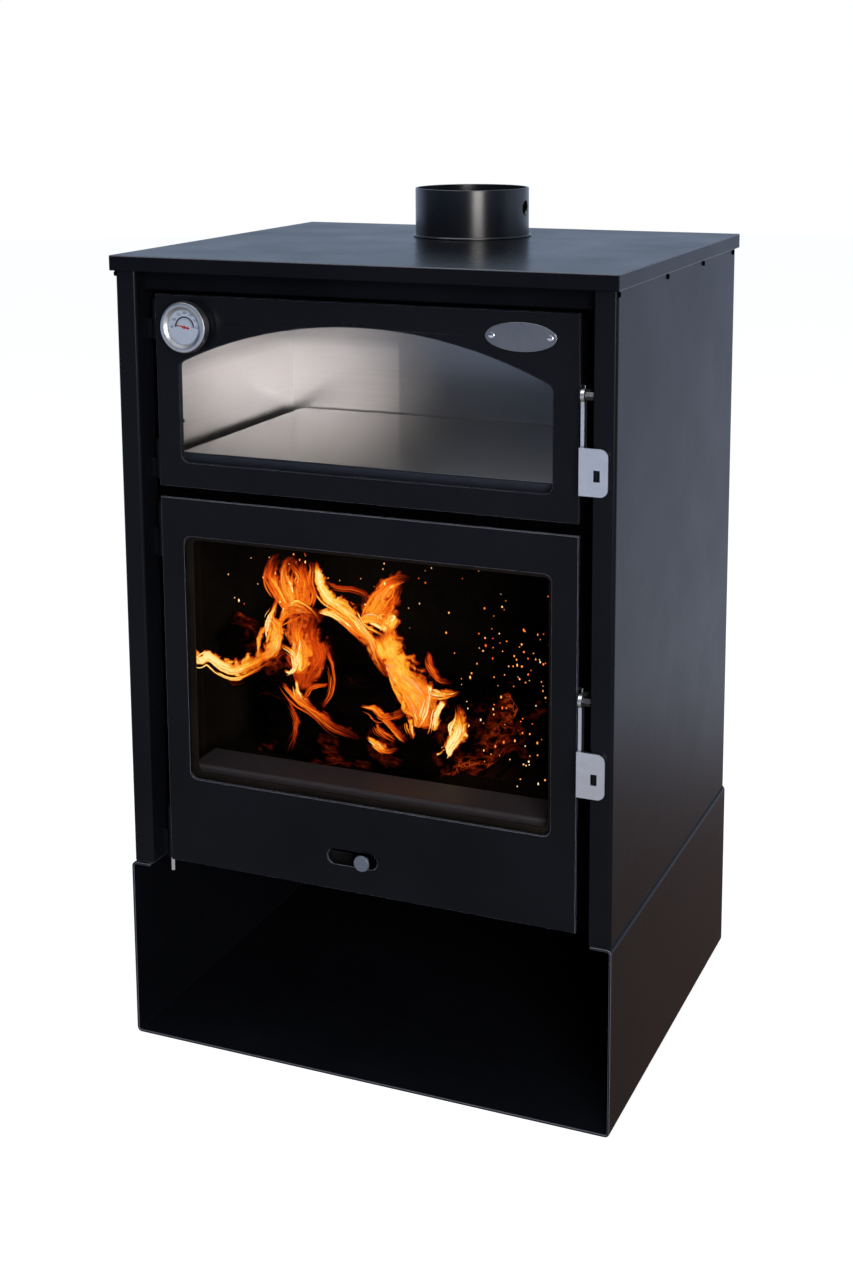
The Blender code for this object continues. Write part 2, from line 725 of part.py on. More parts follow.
inner_rear = INNER_BACK - INNER_SHEET - FIT
grate_back = GRATE_FRONT + GRATE_DEPTH
grate_half = GRATE_WIDTH / 2
hole_low = (-grate_half + ASH_HOLE_RIM, front(GRATE_FRONT + ASH_HOLE_RIM))
hole_high = (grate_half - ASH_HOLE_RIM, front(grate_back - ASH_HOLE_RIM))
corner_room = INNER_SHEET * 1.5
prism(
    "fire_floor",
    [
        box_outline(
            (-INNER_CLEAR, front(wall_front)), (INNER_CLEAR, front(inner_rear)), corner_room
        ),
        box_outline(hole_low, hole_high),
    ],
    "Z", FIRE_FLOOR_Z, FIRE_FLOOR_Z + FIRE_FLOOR_THICK, CAST,
)
brick_low = FIRE_FLOOR_Z + FIRE_FLOOR_THICK + FIT
brick_inner = INNER_CLEAR - BRICK_THICK
brick_rear = inner_rear - BRICK_THICK - corner_room
for name, sign in (("brick_left", -1), ("brick_right", 1)):
    ends = sorted((sign * INNER_CLEAR, sign * brick_inner))
    made = box(
        name, (ends[0], front(BRICK_FRONT), brick_low),
        (ends[1], front(brick_rear - FIT), BRICK_TOP), BRICK,
    )
    soften(made, 0.0015)
made = box(
    "brick_back", (-INNER_CLEAR, front(brick_rear), brick_low),
    (INNER_CLEAR, front(brick_rear + BRICK_THICK), BRICK_TOP), BRICK,
)
soften(made, 0.0015)
floor_x = brick_inner - FIT
prism(
    "brick_floor",
    [
        box_outline((-floor_x, front(BRICK_FRONT)), (floor_x, front(brick_rear - FIT))),
        box_outline(
            (-grate_half - FIT, front(GRATE_FRONT - FIT)), (grate_half + FIT, front(grate_back + FIT))
        ),
    ],
    "Z", brick_low, brick_low + BRICK_THICK, BRICK,
)
made = box(
    "baffle", (-INNER_CLEAR, front(BAFFLE_FRONT), BRICK_TOP + FIT),
    (INNER_CLEAR, front(brick_rear + BRICK_THICK), BRICK_TOP + FIT + BAFFLE_THICK), BRICK,
)
soften(made, 0.0015)

slot_pitch = (GRATE_WIDTH - 0.024) / GRATE_SLOTS
slots = []
for i in range(GRATE_SLOTS):
    x = (i - (GRATE_SLOTS - 1) / 2) * slot_pitch
    low = (x - GRATE_SLOT / 2, front(GRATE_FRONT + 0.018))
    high = (x + GRATE_SLOT / 2, front(grate_back - 0.018))
    slots.append(box_outline(low, high, GRATE_SLOT / 2 - 0.0002, 3))
prism(
    "grate",
    [box_outline((-grate_half, front(GRATE_FRONT)), (grate_half, front(grate_back)))] + slots,
    "Z", brick_low, brick_low + GRATE_THICK, CAST,
)

pan_half = ASH_PAN_WIDTH / 2
pan_low = FLOOR_TOP + FIT
pan_high = pan_low + ASH_PAN_HEIGHT
pan = box(
    "ash_pan", (-pan_half, front(ASH_PAN_FRONT), pan_low),
    (pan_half, front(ASH_PAN_BACK), pan_high), BLACK,
)
pan_room = box(
    "ash_pan_room",
    (-pan_half + ASH_PAN_SHEET, front(ASH_PAN_FRONT + ASH_PAN_SHEET), pan_low + ASH_PAN_SHEET),
    (pan_half - ASH_PAN_SHEET, front(ASH_PAN_BACK - ASH_PAN_SHEET), pan_high + ASH_PAN_HEIGHT),
)
pan_rim = box(
    "ash_pan_rim",
    (-pan_half - ASH_RIM, front(ASH_PAN_FRONT), pan_high - ASH_PAN_SHEET),
    (pan_half + ASH_RIM, front(ASH_PAN_BACK), pan_high),
)
join(pan, pan_rim)
cut(pan, pan_room)

guard_front = wall_front + FIT + GUARD_SHEET / 2
guard_path = [
    (front(guard_front), brick_low), (front(guard_front), GUARD_TOP - GUARD_SHEET / 2),
    (front(GUARD_BACK - GUARD_SHEET / 2), GUARD_TOP - GUARD_SHEET / 2),
    (front(GUARD_BACK - GUARD_SHEET / 2), GUARD_TOP - GUARD_LEG),
]
prism(
    "log_guard", [folded(guard_path, GUARD_SHEET, GUARD_SHEET)], "X",
    -OPENING_HALF + FIT, OPENING_HALF - FIT, CAST,
)

# Oven

oven = box(
    "oven_shell",
    (-OVEN_HALF - OVEN_SHEET, front(wall_front), OVEN_LOW - OVEN_SHEET),
    (OVEN_HALF + OVEN_SHEET, front(OVEN_BACK + OVEN_SHEET), OVEN_HIGH + OVEN_SHEET), STAINLESS,
)
oven_room = box(
    "oven_room", (-OVEN_HALF, front(wall_front) - 0.01, OVEN_LOW),
    (OVEN_HALF, front(OVEN_BACK), OVEN_HIGH),
)
cut(oven, oven_room)
tray_top = OVEN_LOW + FIT + TRAY_LIP
tray_path = [
    (front(TRAY_FRONT + TRAY_SHEET / 2), OVEN_LOW + FIT),
    (front(TRAY_FRONT + TRAY_SHEET / 2), tray_top - TRAY_SHEET / 2),
    (front(OVEN_BACK - TRAY_BACK_GAP - TRAY_SHEET / 2), tray_top - TRAY_SHEET / 2),
    (front(OVEN_BACK - TRAY_BACK_GAP - TRAY_SHEET / 2), OVEN_LOW + FIT),
]
rim_room = DOOR_HALF - RIM_INSET - RIM_WIDTH
tray_half = min(rim_room, OPENING_HALF) - TRAY_SIDE_GAP
prism(
    "oven_tray", [folded(tray_path, TRAY_SHEET, TRAY_SHEET)], "X", -tray_half, tray_half, STAINLESS
)

# Doors

thermo_spot = (THERMO_X, THERMO_Z)
oven_window = (WINDOW_HALF, OVEN_WINDOW_LOW, OVEN_WINDOW_SIDE, OVEN_WINDOW_HIGH, WINDOW_CORNER)


def oven_outline(grow):
    return arched(*oven_window, grow)


def fire_outline(grow):
    return box_outline(
        (-WINDOW_HALF - grow, FIRE_WINDOW_LOW - grow),
        (WINDOW_HALF + grow, FIRE_WINDOW_HIGH + grow), WINDOW_CORNER + max(grow, -0.004),
    )


badge_spots = [(BADGE_X - RIVET_SPREAD, BADGE_Z), (BADGE_X + RIVET_SPREAD, BADGE_Z)]
oven_holes = [circle(thermo_spot, PROBE_RADIUS + FIT, 20)]
oven_holes += [circle(spot, RIVET_SHANK + FIT, 12) for spot in badge_spots]
air_slot = box_outline(
    (AIR_SLOT_LEFT, AIR_Z - AIR_SLOT_HEIGHT / 2), (AIR_SLOT_RIGHT, AIR_Z + AIR_SLOT_HEIGHT / 2),
    AIR_SLOT_HEIGHT / 2 - 0.0004, 6,
)
DOORS = {
    "oven": {
        "low": OVEN_DOOR_LOW, "high": OVEN_DOOR_HIGH, "window": oven_outline, "holes": oven_holes,
        "window_low": OVEN_WINDOW_LOW, "window_high": OVEN_WINDOW_HIGH,
        "lap": OVEN_GLASS_LAP, "in": OVEN_FRAME_IN, "glass": OVEN_GLASS,
        "hinges": (OVEN_HINGE_LOW, OVEN_HINGE_HIGH), "knuckle": OVEN_KNUCKLE,
        "pivot": OVEN_PIVOT_Z,
    },
    "fire": {
        "low": FIRE_DOOR_LOW, "high": FIRE_DOOR_HIGH, "window": fire_outline, "holes": [air_slot],
        "window_low": FIRE_WINDOW_LOW, "window_high": FIRE_WINDOW_HIGH,
        "lap": FIRE_GLASS_LAP, "in": FIRE_FRAME_IN, "glass": FIRE_GLASS,
        "hinges": (FIRE_HINGE_LOW, FIRE_HINGE_HIGH), "knuckle": FIRE_KNUCKLE,
        "pivot": FIRE_PIVOT_Z,
    },
}
hinge_spot = (HINGE_X, front(HINGE_SETBACK))
rim_half = DOOR_HALF - RIM_INSET
rope_inset = RIM_WIDTH / 2
moving = {"oven": [], "fire": []}


def grown(low, high, by):
    """Rectangle of the rim's outline, shrunk on all sides by a distance."""
    return (-rim_half + by, low + RIM_INSET + by), (rim_half - by, high - RIM_INSET - by)


def frame_lap(door):
    """How far the glass frame reaches past the window: as far as the rim leaves room."""
    low, high = grown(door["low"], door["high"], RIM_WIDTH)
    room = min(high[0] - WINDOW_HALF, high[1] - door["window_high"], door["window_low"] - low[1])
    return min(GLASS_FRAME_LAP, room - FIT)


def rim_of(kind, door):
    """The ring behind a door's face, with its rope groove and its halves of the hinges."""
    low, high = door["low"], door["high"]
    rear = RIM_FRONT + RIM_DEPTH
    rim = prism(
        f"{kind}_door_rim",
        [box_outline(*grown(low, high, 0)), box_outline(*grown(low, high, RIM_WIDTH), 0.003, 2)],
        "Y", front(RIM_FRONT), front(rear), CAST,
    )
    groove = rope_inset - ROPE_RADIUS - FIT
    groove_cut = prism(
        f"{kind}_groove",
        [
            box_outline(*grown(low, high, groove), 0.004, 3),
            box_outline(*grown(low, high, RIM_WIDTH - groove), 0.003, 3),
        ],
        "Y", front(PLATE_SETBACK - 2 * ROPE_RADIUS - 2 * FIT), front(rear + 0.01),
    )
    cut(rim, groove_cut)
    for i, start in enumerate(door["hinges"]):
        first = start + door["knuckle"] + KNUCKLE_GAP
        last = first + door["knuckle"]
        tab = prism(
            f"{kind}_tab_{i}",
            [softened(
                [
                    (HINGE_X, hinge_spot[1] - 0.0005), (-rim_half + 0.001, hinge_spot[1] - 0.0005),
                    (-rim_half + 0.001, hinge_spot[1] + 0.005), (HINGE_X, hinge_spot[1] + 0.005),
                ], 0,
            )],
            "Z", first, last,
        )
        barrel = rod(f"{kind}_barrel_{i}", "Z", hinge_spot, KNUCKLE_RADIUS, first, last)
        bore = rod(
            f"{kind}_bore_{i}", "Z", hinge_spot, PIN_RADIUS + RUN, first - 0.01, last + 0.01
        )
        join(tab, barrel)
        cut(tab, bore)
        join(rim, tab)
    return rim


hinge_count = 0
for kind, door in DOORS.items():
    low, high = door["low"], door["high"]
    skin = prism(
        f"{kind}_door_skin",
        [box_outline((-DOOR_HALF, low), (DOOR_HALF, high)), door["window"](0)] + door["holes"],
        "Y", front(DOOR_SETBACK), front(DOOR_BACK), BLACK,
    )
    soften(skin, DOOR_EDGE, 60)
    pane = prism(
        f"{kind}_glass", [door["window"](door["lap"])], "Y",
        front(GLASS_FRONT), front(GLASS_FRONT + GLASS_THICK), door["glass"],
    )
    keeper_front = GLASS_FRONT + GLASS_THICK + FIT
    keeper = prism(
        f"{kind}_glass_frame", [door["window"](frame_lap(door)), door["window"](door["in"])], "Y",
        front(keeper_front), front(keeper_front + GLASS_FRAME_THICK), CAST,
    )
    seal = rope(
        f"{kind}_gasket", box_outline(*grown(low, high, rope_inset), 0.008, 4), ROPE_RADIUS,
        front(PLATE_SETBACK - FIT - ROPE_RADIUS), ROPE,
    )
    strike_low = rim_half + FIT
    strike = rod(
        f"{kind}_strike", "X",
        (front(STRIKE_SETBACK), door["pivot"] + HOOK_RISE + FIT + STRIKE_RADIUS),
        STRIKE_RADIUS, strike_low, strike_low + STRIKE_LENGTH, SATIN, 16,
    )
    moving[kind] += [skin, pane, keeper, seal, strike, rim_of(kind, door)]
    for i, start in enumerate(door["hinges"]):
        hinge_count += 1
        last = start + door["knuckle"]
        leaf = box(
            f"hinge_leaf_{hinge_count}",
            (-STILE_INNER + FIT, hinge_spot[1] - 0.0005, start),
            (HINGE_X, hinge_spot[1] - 0.0005 + LEAF_THICK, last), BLACK,
        )
        barrel = rod(f"leaf_barrel_{hinge_count}", "Z", hinge_spot, KNUCKLE_RADIUS, start, last)
        bore = rod(
            f"leaf_bore_{hinge_count}", "Z", hinge_spot, PIN_RADIUS + RUN, start - 0.01, last + 0.01
        )
        join(leaf, barrel)
        cut(leaf, bore)
        tail = LONG_PIN_TAIL if start == FIRE_HINGE_LOW else PIN_TAIL
        pin = rod(
            f"hinge_pin_{hinge_count}", "Z", hinge_spot, PIN_RADIUS, start - tail,
            last + KNUCKLE_GAP + door["knuckle"] - 0.001, CHROME,
        )
        soften(pin, 0.0006)

# Latch levers

lever_y = front(LEVER_SETBACK)
lever_out = LEVER_X + LEVER_THICK
levers = {}
for kind, door in DOORS.items():
    z = door["pivot"]
    half_blade = BLADE_WIDTH / 2
    foot_low = z - GRIP_TOP - GRIP_FOOT
    side = [
        (lever_y - half_blade, z), (lever_y - half_blade, z - GRIP_TOP),
        (front(GRIP_SETBACK), z - GRIP_TOP), (front(GRIP_SETBACK), z - GRIP_BOTTOM),
        (front(GRIP_SETBACK + GRIP_THICK), z - GRIP_BOTTOM),
        (front(GRIP_SETBACK + GRIP_THICK), foot_low - 0.006),
        (lever_y + half_blade, foot_low), (lever_y + half_blade, z - HOOK_DROP),
        (lever_y + HOOK_REACH, z - HOOK_DROP), (lever_y + HOOK_REACH, z + HOOK_RISE),
        (lever_y, z + HOOK_RISE),
    ]
    lever = prism(f"{kind}_lever", [side], "X", LEVER_X, lever_out, SATIN)
    eye = rod(f"{kind}_eye", "X", (lever_y, z), EYE_RADIUS, LEVER_X, lever_out, count=32)
    grip = prism(
        f"{kind}_grip",
        [
            softened(
                [
                    (LEVER_X, z - GRIP_BOTTOM), (LEVER_X + GRIP_WIDTH, z - GRIP_BOTTOM),
                    (LEVER_X + GRIP_WIDTH, z - GRIP_TOP), (LEVER_X, z - GRIP_TOP),
                ], GRIP_CORNER, 6, only=(1, 2),
            ),
            box_outline(
                (LEVER_X + GRIP_HOLE_X - GRIP_HOLE_WIDTH / 2, z - GRIP_HOLE_DROP - GRIP_HOLE_HEIGHT / 2),
                (LEVER_X + GRIP_HOLE_X + GRIP_HOLE_WIDTH / 2, z - GRIP_HOLE_DROP + GRIP_HOLE_HEIGHT / 2),
            ),
        ],
        "Y", front(GRIP_SETBACK), front(GRIP_SETBACK + GRIP_THICK),
    )
    hook = box(
        f"{kind}_hook",
        (LEVER_X - HOOK_INSIDE, lever_y + HOOK_REACH - HOOK_LENGTH, z - HOOK_DROP),
        (lever_out, lever_y + HOOK_REACH, z + HOOK_RISE),
    )
    bore = rod(
        f"{kind}_lever_bore", "X", (lever_y, z), BOLT_RADIUS + RUN, LEVER_X - 0.01, lever_out + 0.01
    )
    join(lever, eye, grip, hook)
    cut(lever, bore)
    levers[kind] = lever

    bolt = rod(
        f"{kind}_pivot_bolt", "X", (lever_y, z), BOLT_RADIUS,
        LEVER_X - FIT - BOLT_HEAD, STILE_INNER + BODY_SHEET + BOLT_TAIL, SATIN,
    )
    head = rod(
        f"{kind}_bolt_head", "X", (lever_y, z), BOLT_RADIUS + 0.001,
        LEVER_X - FIT - BOLT_HEAD, LEVER_X - FIT,
    )
    nut = rod(
        f"{kind}_bolt_collar", "X", (lever_y, z), COLLAR_RADIUS, lever_out + COLLAR_GAP,
        STILE_INNER - FIT, count=6,
    )
    join(bolt, head, nut)

# Thermometer

thermo_at = (THERMO_X, 0, THERMO_Z)


def depths(profile):
    """A profile of (radius, setback) points as (radius, height) points for turning along Y."""
    return [(r, -front(d)) for r, d in profile]


case_back = DOOR_SETBACK - FIT
case_profile = depths([
    (0, CASE_FRONT), (CASE_RADIUS - 0.001, CASE_FRONT), (CASE_RADIUS, CASE_FRONT + 0.001),
    (CASE_RADIUS, case_back - 0.003), (CASE_RADIUS - 0.002, case_back - 0.003),
    (CASE_RADIUS - 0.002, case_back), (PROBE_RADIUS, case_back), (PROBE_RADIUS, PROBE_END),
    (0, PROBE_END),
])
bezel_profile = depths([
    (BEZEL_LIP, THERMO_FRONT + 0.0024), (BEZEL_LIP + 0.0035, THERMO_FRONT + 0.0004),
    (BEZEL_LIP + 0.0045, THERMO_FRONT), (BEZEL_RADIUS - 0.0030, THERMO_FRONT),
    (BEZEL_RADIUS - 0.0012, THERMO_FRONT + 0.0008), (BEZEL_RADIUS, THERMO_FRONT + 0.003),
    (BEZEL_RADIUS, THERMO_FRONT + BEZEL_DEPTH), (CASE_RADIUS + FIT, THERMO_FRONT + BEZEL_DEPTH),
    (CASE_RADIUS + FIT, THERMO_FRONT + 0.0036), (BEZEL_LIP, THERMO_FRONT + 0.0036),
])
case = turned("thermo_body", case_profile, "Y", thermo_at, SATIN)
bezel = turned("thermo_bezel", bezel_profile, "Y", thermo_at, SATIN, 48)
dial_front = CASE_FRONT - FIT - DIAL_THICK
dial = rod(
    "thermo_dial", "Y", thermo_spot, CASE_RADIUS - 0.0005, front(dial_front),
    front(dial_front + DIAL_THICK), WHITE, 40,
)
lens_front = THERMO_FRONT + 0.0036 + FIT
lens = rod(
    "thermo_lens", "Y", thermo_spot, LENS_RADIUS, front(lens_front),
    front(lens_front + LENS_THICK), OVEN_GLASS, 40,
)
tilt = math.radians(180 - NEEDLE_TILT)
along = Vector((math.cos(tilt), math.sin(tilt)))
across = Vector((-along.y, along.x))
center = Vector(thermo_spot)
needle_shape = [
    center + along * NEEDLE_LONG, center + across * 0.0008 + along * 0.002,
    center - along * NEEDLE_SHORT + across * 0.0012, center - along * NEEDLE_SHORT - across * 0.0012,
    center - across * 0.0008 + along * 0.002,
]
needle_front = dial_front - FIT - NEEDLE_THICK
needle = prism(
    "thermo_needle", [[tuple(p) for p in needle_shape]], "Y", front(needle_front),
    front(needle_front + NEEDLE_THICK), RED,
)
hub = rod(
    "needle_hub", "Y", thermo_spot, 0.0018, front(needle_front - 0.0004),
    front(needle_front + NEEDLE_THICK), count=16,
)
join(needle, hub)
moving["oven"] += [case, bezel, dial, lens]

# Oval plate

oval = [
    (BADGE_X + BADGE_WIDTH / 2 * math.cos(a), BADGE_Z + BADGE_HEIGHT / 2 * math.sin(a))
    for a in [2 * math.pi * i / 40 for i in range(40)]
]
badge_front = DOOR_SETBACK - FIT - BADGE_THICK
badge = prism(
    "badge_plate", [oval] + [circle(spot, RIVET_SHANK + FIT, 12) for spot in badge_spots], "Y",
    front(badge_front), front(badge_front + BADGE_THICK), SATIN,
)
moving["oven"].append(badge)
rivet_profile = depths([
    (0, badge_front - FIT - 0.0010), (RIVET_RADIUS * 0.6, badge_front - FIT - 0.0010),
    (RIVET_RADIUS, badge_front - FIT - 0.0002), (RIVET_RADIUS, badge_front - FIT),
    (RIVET_SHANK, badge_front - FIT), (RIVET_SHANK, DOOR_BACK), (0, DOOR_BACK),
])
for side, spot in zip(("left", "right"), badge_spots):
    rivet = turned(f"badge_rivet_{side}", rivet_profile, "Y", (spot[0], 0, spot[1]), CHROME, 16)
    moving["oven"].append(rivet)

# Air control

shutter_front = DOOR_BACK + FIT
shutter_back = shutter_front + SHUTTER_THICK
shutter_left = AIR_KNOB_X - AIR_STEM_RADIUS - 0.004
shutter = prism(
    "air_shutter",
    [
        box_outline(
            (shutter_left, AIR_Z - SHUTTER_HEIGHT / 2),
            (shutter_left + SHUTTER_LENGTH, AIR_Z + SHUTTER_HEIGHT / 2), 0.003, 3,
        ),
        circle((AIR_KNOB_X, AIR_Z), AIR_STEM_RADIUS * 0.6 + FIT, 16),
    ],
    "Y", front(shutter_front), front(shutter_back), CAST,
)
knob_profile = depths([
    (0, AIR_KNOB_FRONT), (AIR_KNOB_RADIUS - 0.0008, AIR_KNOB_FRONT),
    (AIR_KNOB_RADIUS, AIR_KNOB_FRONT + 0.0008),
    (AIR_KNOB_RADIUS, AIR_KNOB_FRONT + AIR_KNOB_THICK),
    (AIR_STEM_RADIUS, AIR_KNOB_FRONT + AIR_KNOB_THICK), (AIR_STEM_RADIUS, shutter_front - FIT),
    (AIR_STEM_RADIUS * 0.6, shutter_front - FIT), (AIR_STEM_RADIUS * 0.6, shutter_back),
    (0, shutter_back),
])
knob = turned("air_knob", knob_profile, "Y", (AIR_KNOB_X, 0, AIR_Z), BLACK, 32)
channel_half = SHUTTER_HEIGHT / 2 + FIT + CHANNEL_SHEET
channel_back = shutter_back + FIT + CHANNEL_SHEET
channel_outer = [
    (front(shutter_front), AIR_Z - channel_half), (front(channel_back), AIR_Z - channel_half),
    (front(channel_back), AIR_Z + channel_half), (front(shutter_front), AIR_Z + channel_half),
    (front(shutter_front), AIR_Z + channel_half - CHANNEL_SHEET),
    (front(shutter_back + FIT), AIR_Z + channel_half - CHANNEL_SHEET),
    (front(shutter_back + FIT), AIR_Z - channel_half + CHANNEL_SHEET),
    (front(shutter_front), AIR_Z - channel_half + CHANNEL_SHEET),
]
channel = prism("air_channel", [channel_outer], "X", -CHANNEL_LENGTH / 2, CHANNEL_LENGTH / 2, CAST)
channel_slot = prism(
    "channel_slot", [air_slot], "Y", front(shutter_back) - 0.001, front(channel_back) + 0.01
)
cut(channel, channel_slot)
moving["fire"].append(channel)


# Moving bodies

def hang(name, spot, members):
    """An empty on the joint's axis that carries the pieces which move with it."""
    empty = bpy.data.objects.new(name, None)
    empty.empty_display_size = 0.03
    empty.location = spot
    stove.objects.link(empty)
    for member in members:
        member.parent = empty
        member.matrix_parent_inverse = Matrix.Translation(spot).inverted()


hang("oven_door_axis", (*hinge_spot, OVEN_DOOR_LOW), moving["oven"])
hang("fire_door_axis", (*hinge_spot, FIRE_DOOR_LOW), moving["fire"])
hang("oven_lever_axis", (LEVER_X, lever_y, OVEN_PIVOT_Z), [levers["oven"]])
hang("fire_lever_axis", (LEVER_X, lever_y, FIRE_PIVOT_Z), [levers["fire"]])
hang("air_slide", (AIR_KNOB_X, front(AIR_KNOB_FRONT), AIR_Z), [shutter, knob])
hang("needle_axis", (THERMO_X, front(needle_front), THERMO_Z), [needle])
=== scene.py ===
"""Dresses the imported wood-burning stove with oven: finishes, small parts, a fire and a studio."""

import json
import math
import random

import bmesh
import bpy
from bpy.props import FloatProperty, FloatVectorProperty, IntProperty, PointerProperty
from mathutils import Matrix, Vector

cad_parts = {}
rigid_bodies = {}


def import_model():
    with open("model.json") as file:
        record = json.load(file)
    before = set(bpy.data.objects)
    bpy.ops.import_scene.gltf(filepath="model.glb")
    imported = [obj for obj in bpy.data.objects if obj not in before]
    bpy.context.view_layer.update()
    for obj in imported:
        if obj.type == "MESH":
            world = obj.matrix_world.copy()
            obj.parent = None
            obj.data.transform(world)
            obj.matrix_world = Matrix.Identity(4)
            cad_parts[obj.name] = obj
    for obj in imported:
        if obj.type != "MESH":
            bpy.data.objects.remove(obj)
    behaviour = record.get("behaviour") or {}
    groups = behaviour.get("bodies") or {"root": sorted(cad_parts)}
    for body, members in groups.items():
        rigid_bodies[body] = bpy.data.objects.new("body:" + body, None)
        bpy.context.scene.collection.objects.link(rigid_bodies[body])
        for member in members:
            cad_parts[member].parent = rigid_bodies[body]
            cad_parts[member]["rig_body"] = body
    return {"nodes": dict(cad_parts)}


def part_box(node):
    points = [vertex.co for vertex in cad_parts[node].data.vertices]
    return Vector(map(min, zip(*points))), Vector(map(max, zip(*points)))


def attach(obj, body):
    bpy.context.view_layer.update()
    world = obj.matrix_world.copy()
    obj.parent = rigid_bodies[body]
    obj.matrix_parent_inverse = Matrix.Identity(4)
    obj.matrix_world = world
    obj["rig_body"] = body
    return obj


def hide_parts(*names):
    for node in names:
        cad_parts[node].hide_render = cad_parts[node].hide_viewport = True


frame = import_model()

bl_info = {
    "name": "Wood-burning stove with oven",
    "version": (1, 0, 0),
    "blender": (4, 5, 0),
    "location": "3D View > Sidebar > Stove",
    "description": "Dresses the packed stove with finishes, small parts, a fire and a studio",
    "category": "Object",
}


def color_property(name, description, default):
    return FloatVectorProperty(
        name=name, description=description, default=default,
        subtype="COLOR", size=3, min=0.0, max=1.0,
    )


class StoveFinish(bpy.types.PropertyGroup):
    """Colours and edges of the stove's own parts."""

    paint: color_property("Paint", "Satin paint on the outer sheets", (0.0045, 0.0050, 0.0070))
    paint_roughness: FloatProperty(
        name="Paint roughness", description="Gloss of the satin paint, lower is glossier",
        default=0.27, min=0.05, max=1.0, subtype="FACTOR",
    )
    blackened: color_property("Blackened plate", "Plates dulled by heat", (0.016, 0.015, 0.015))
    stainless: color_property("Stainless", "Brushed sheet of the oven", (0.60, 0.58, 0.57))
    satin: color_property("Satin steel", "Levers, rivets and oval plate", (0.80, 0.81, 0.84))
    chrome: color_property("Chrome", "Bezel and hinge pins", (0.78, 0.79, 0.80))
    brick: color_property("Firebrick", "Lining of the firebox under its soot", (0.36, 0.29, 0.20))
    rope: color_property("Rope seal", "Glass rope in the door rims", (0.30, 0.29, 0.27))
    dial: color_property("Dial", "Face of the thermometer", (0.62, 0.70, 0.82))
    needle: color_property("Needle", "Pointer of the thermometer", (0.62, 0.02, 0.015))
    # Painted highlight: a light colour on the eased edges of the sheets and doors that stands for
    # their lit edge lines
    worn: color_property("Worn edge", "Paint burnished along the edges", (0.075, 0.080, 0.095))
    edge: FloatProperty(
        name="Edge", description="Width of the eased edge on sheet metal",
        default=0.0005, min=0.0001, max=0.002, precision=4, unit="LENGTH",
    )


class StoveFire(bpy.types.PropertyGroup):
    """The fire behind the glass."""

    glow: FloatProperty(
        name="Glow", description="Strength of the flames' light", default=1.7, min=0.0, max=20.0,
    )
    sparks: IntProperty(
        name="Sparks", description="Number of sparks in the air", default=260, min=0, max=2000,
    )


def angle_property(name, description, degrees):
    return FloatProperty(
        name=name, description=description, default=math.radians(degrees), subtype="ANGLE",
    )


class StoveStage(bpy.types.PropertyGroup):
    """Floor, lights and camera."""

    floor: color_property("Floor", "Plain pale floor", (0.50, 0.50, 0.50))
    key: FloatProperty(
        name="Key light", description="Power of the tall light", default=14.0, min=0.0,
        unit="POWER",
    )
    camera_place: FloatVectorProperty(
        name="Camera place", description="Where the camera stands",
        default=(0.882, -2.119, 1.207), subtype="TRANSLATION", unit="LENGTH",
    )
    camera_yaw: angle_property("Camera turn", "Turn to the left of straight on", 23.08)
    camera_pitch: angle_property("Camera tilt", "Tilt below the horizon", 9.55)
    camera_roll: angle_property("Camera roll", "Lean to one side", 0.32)
    camera_lens: FloatProperty(
        name="Lens", description="Focal length on the sensor", default=51.24, min=10.0,
        unit="CAMERA",
    )


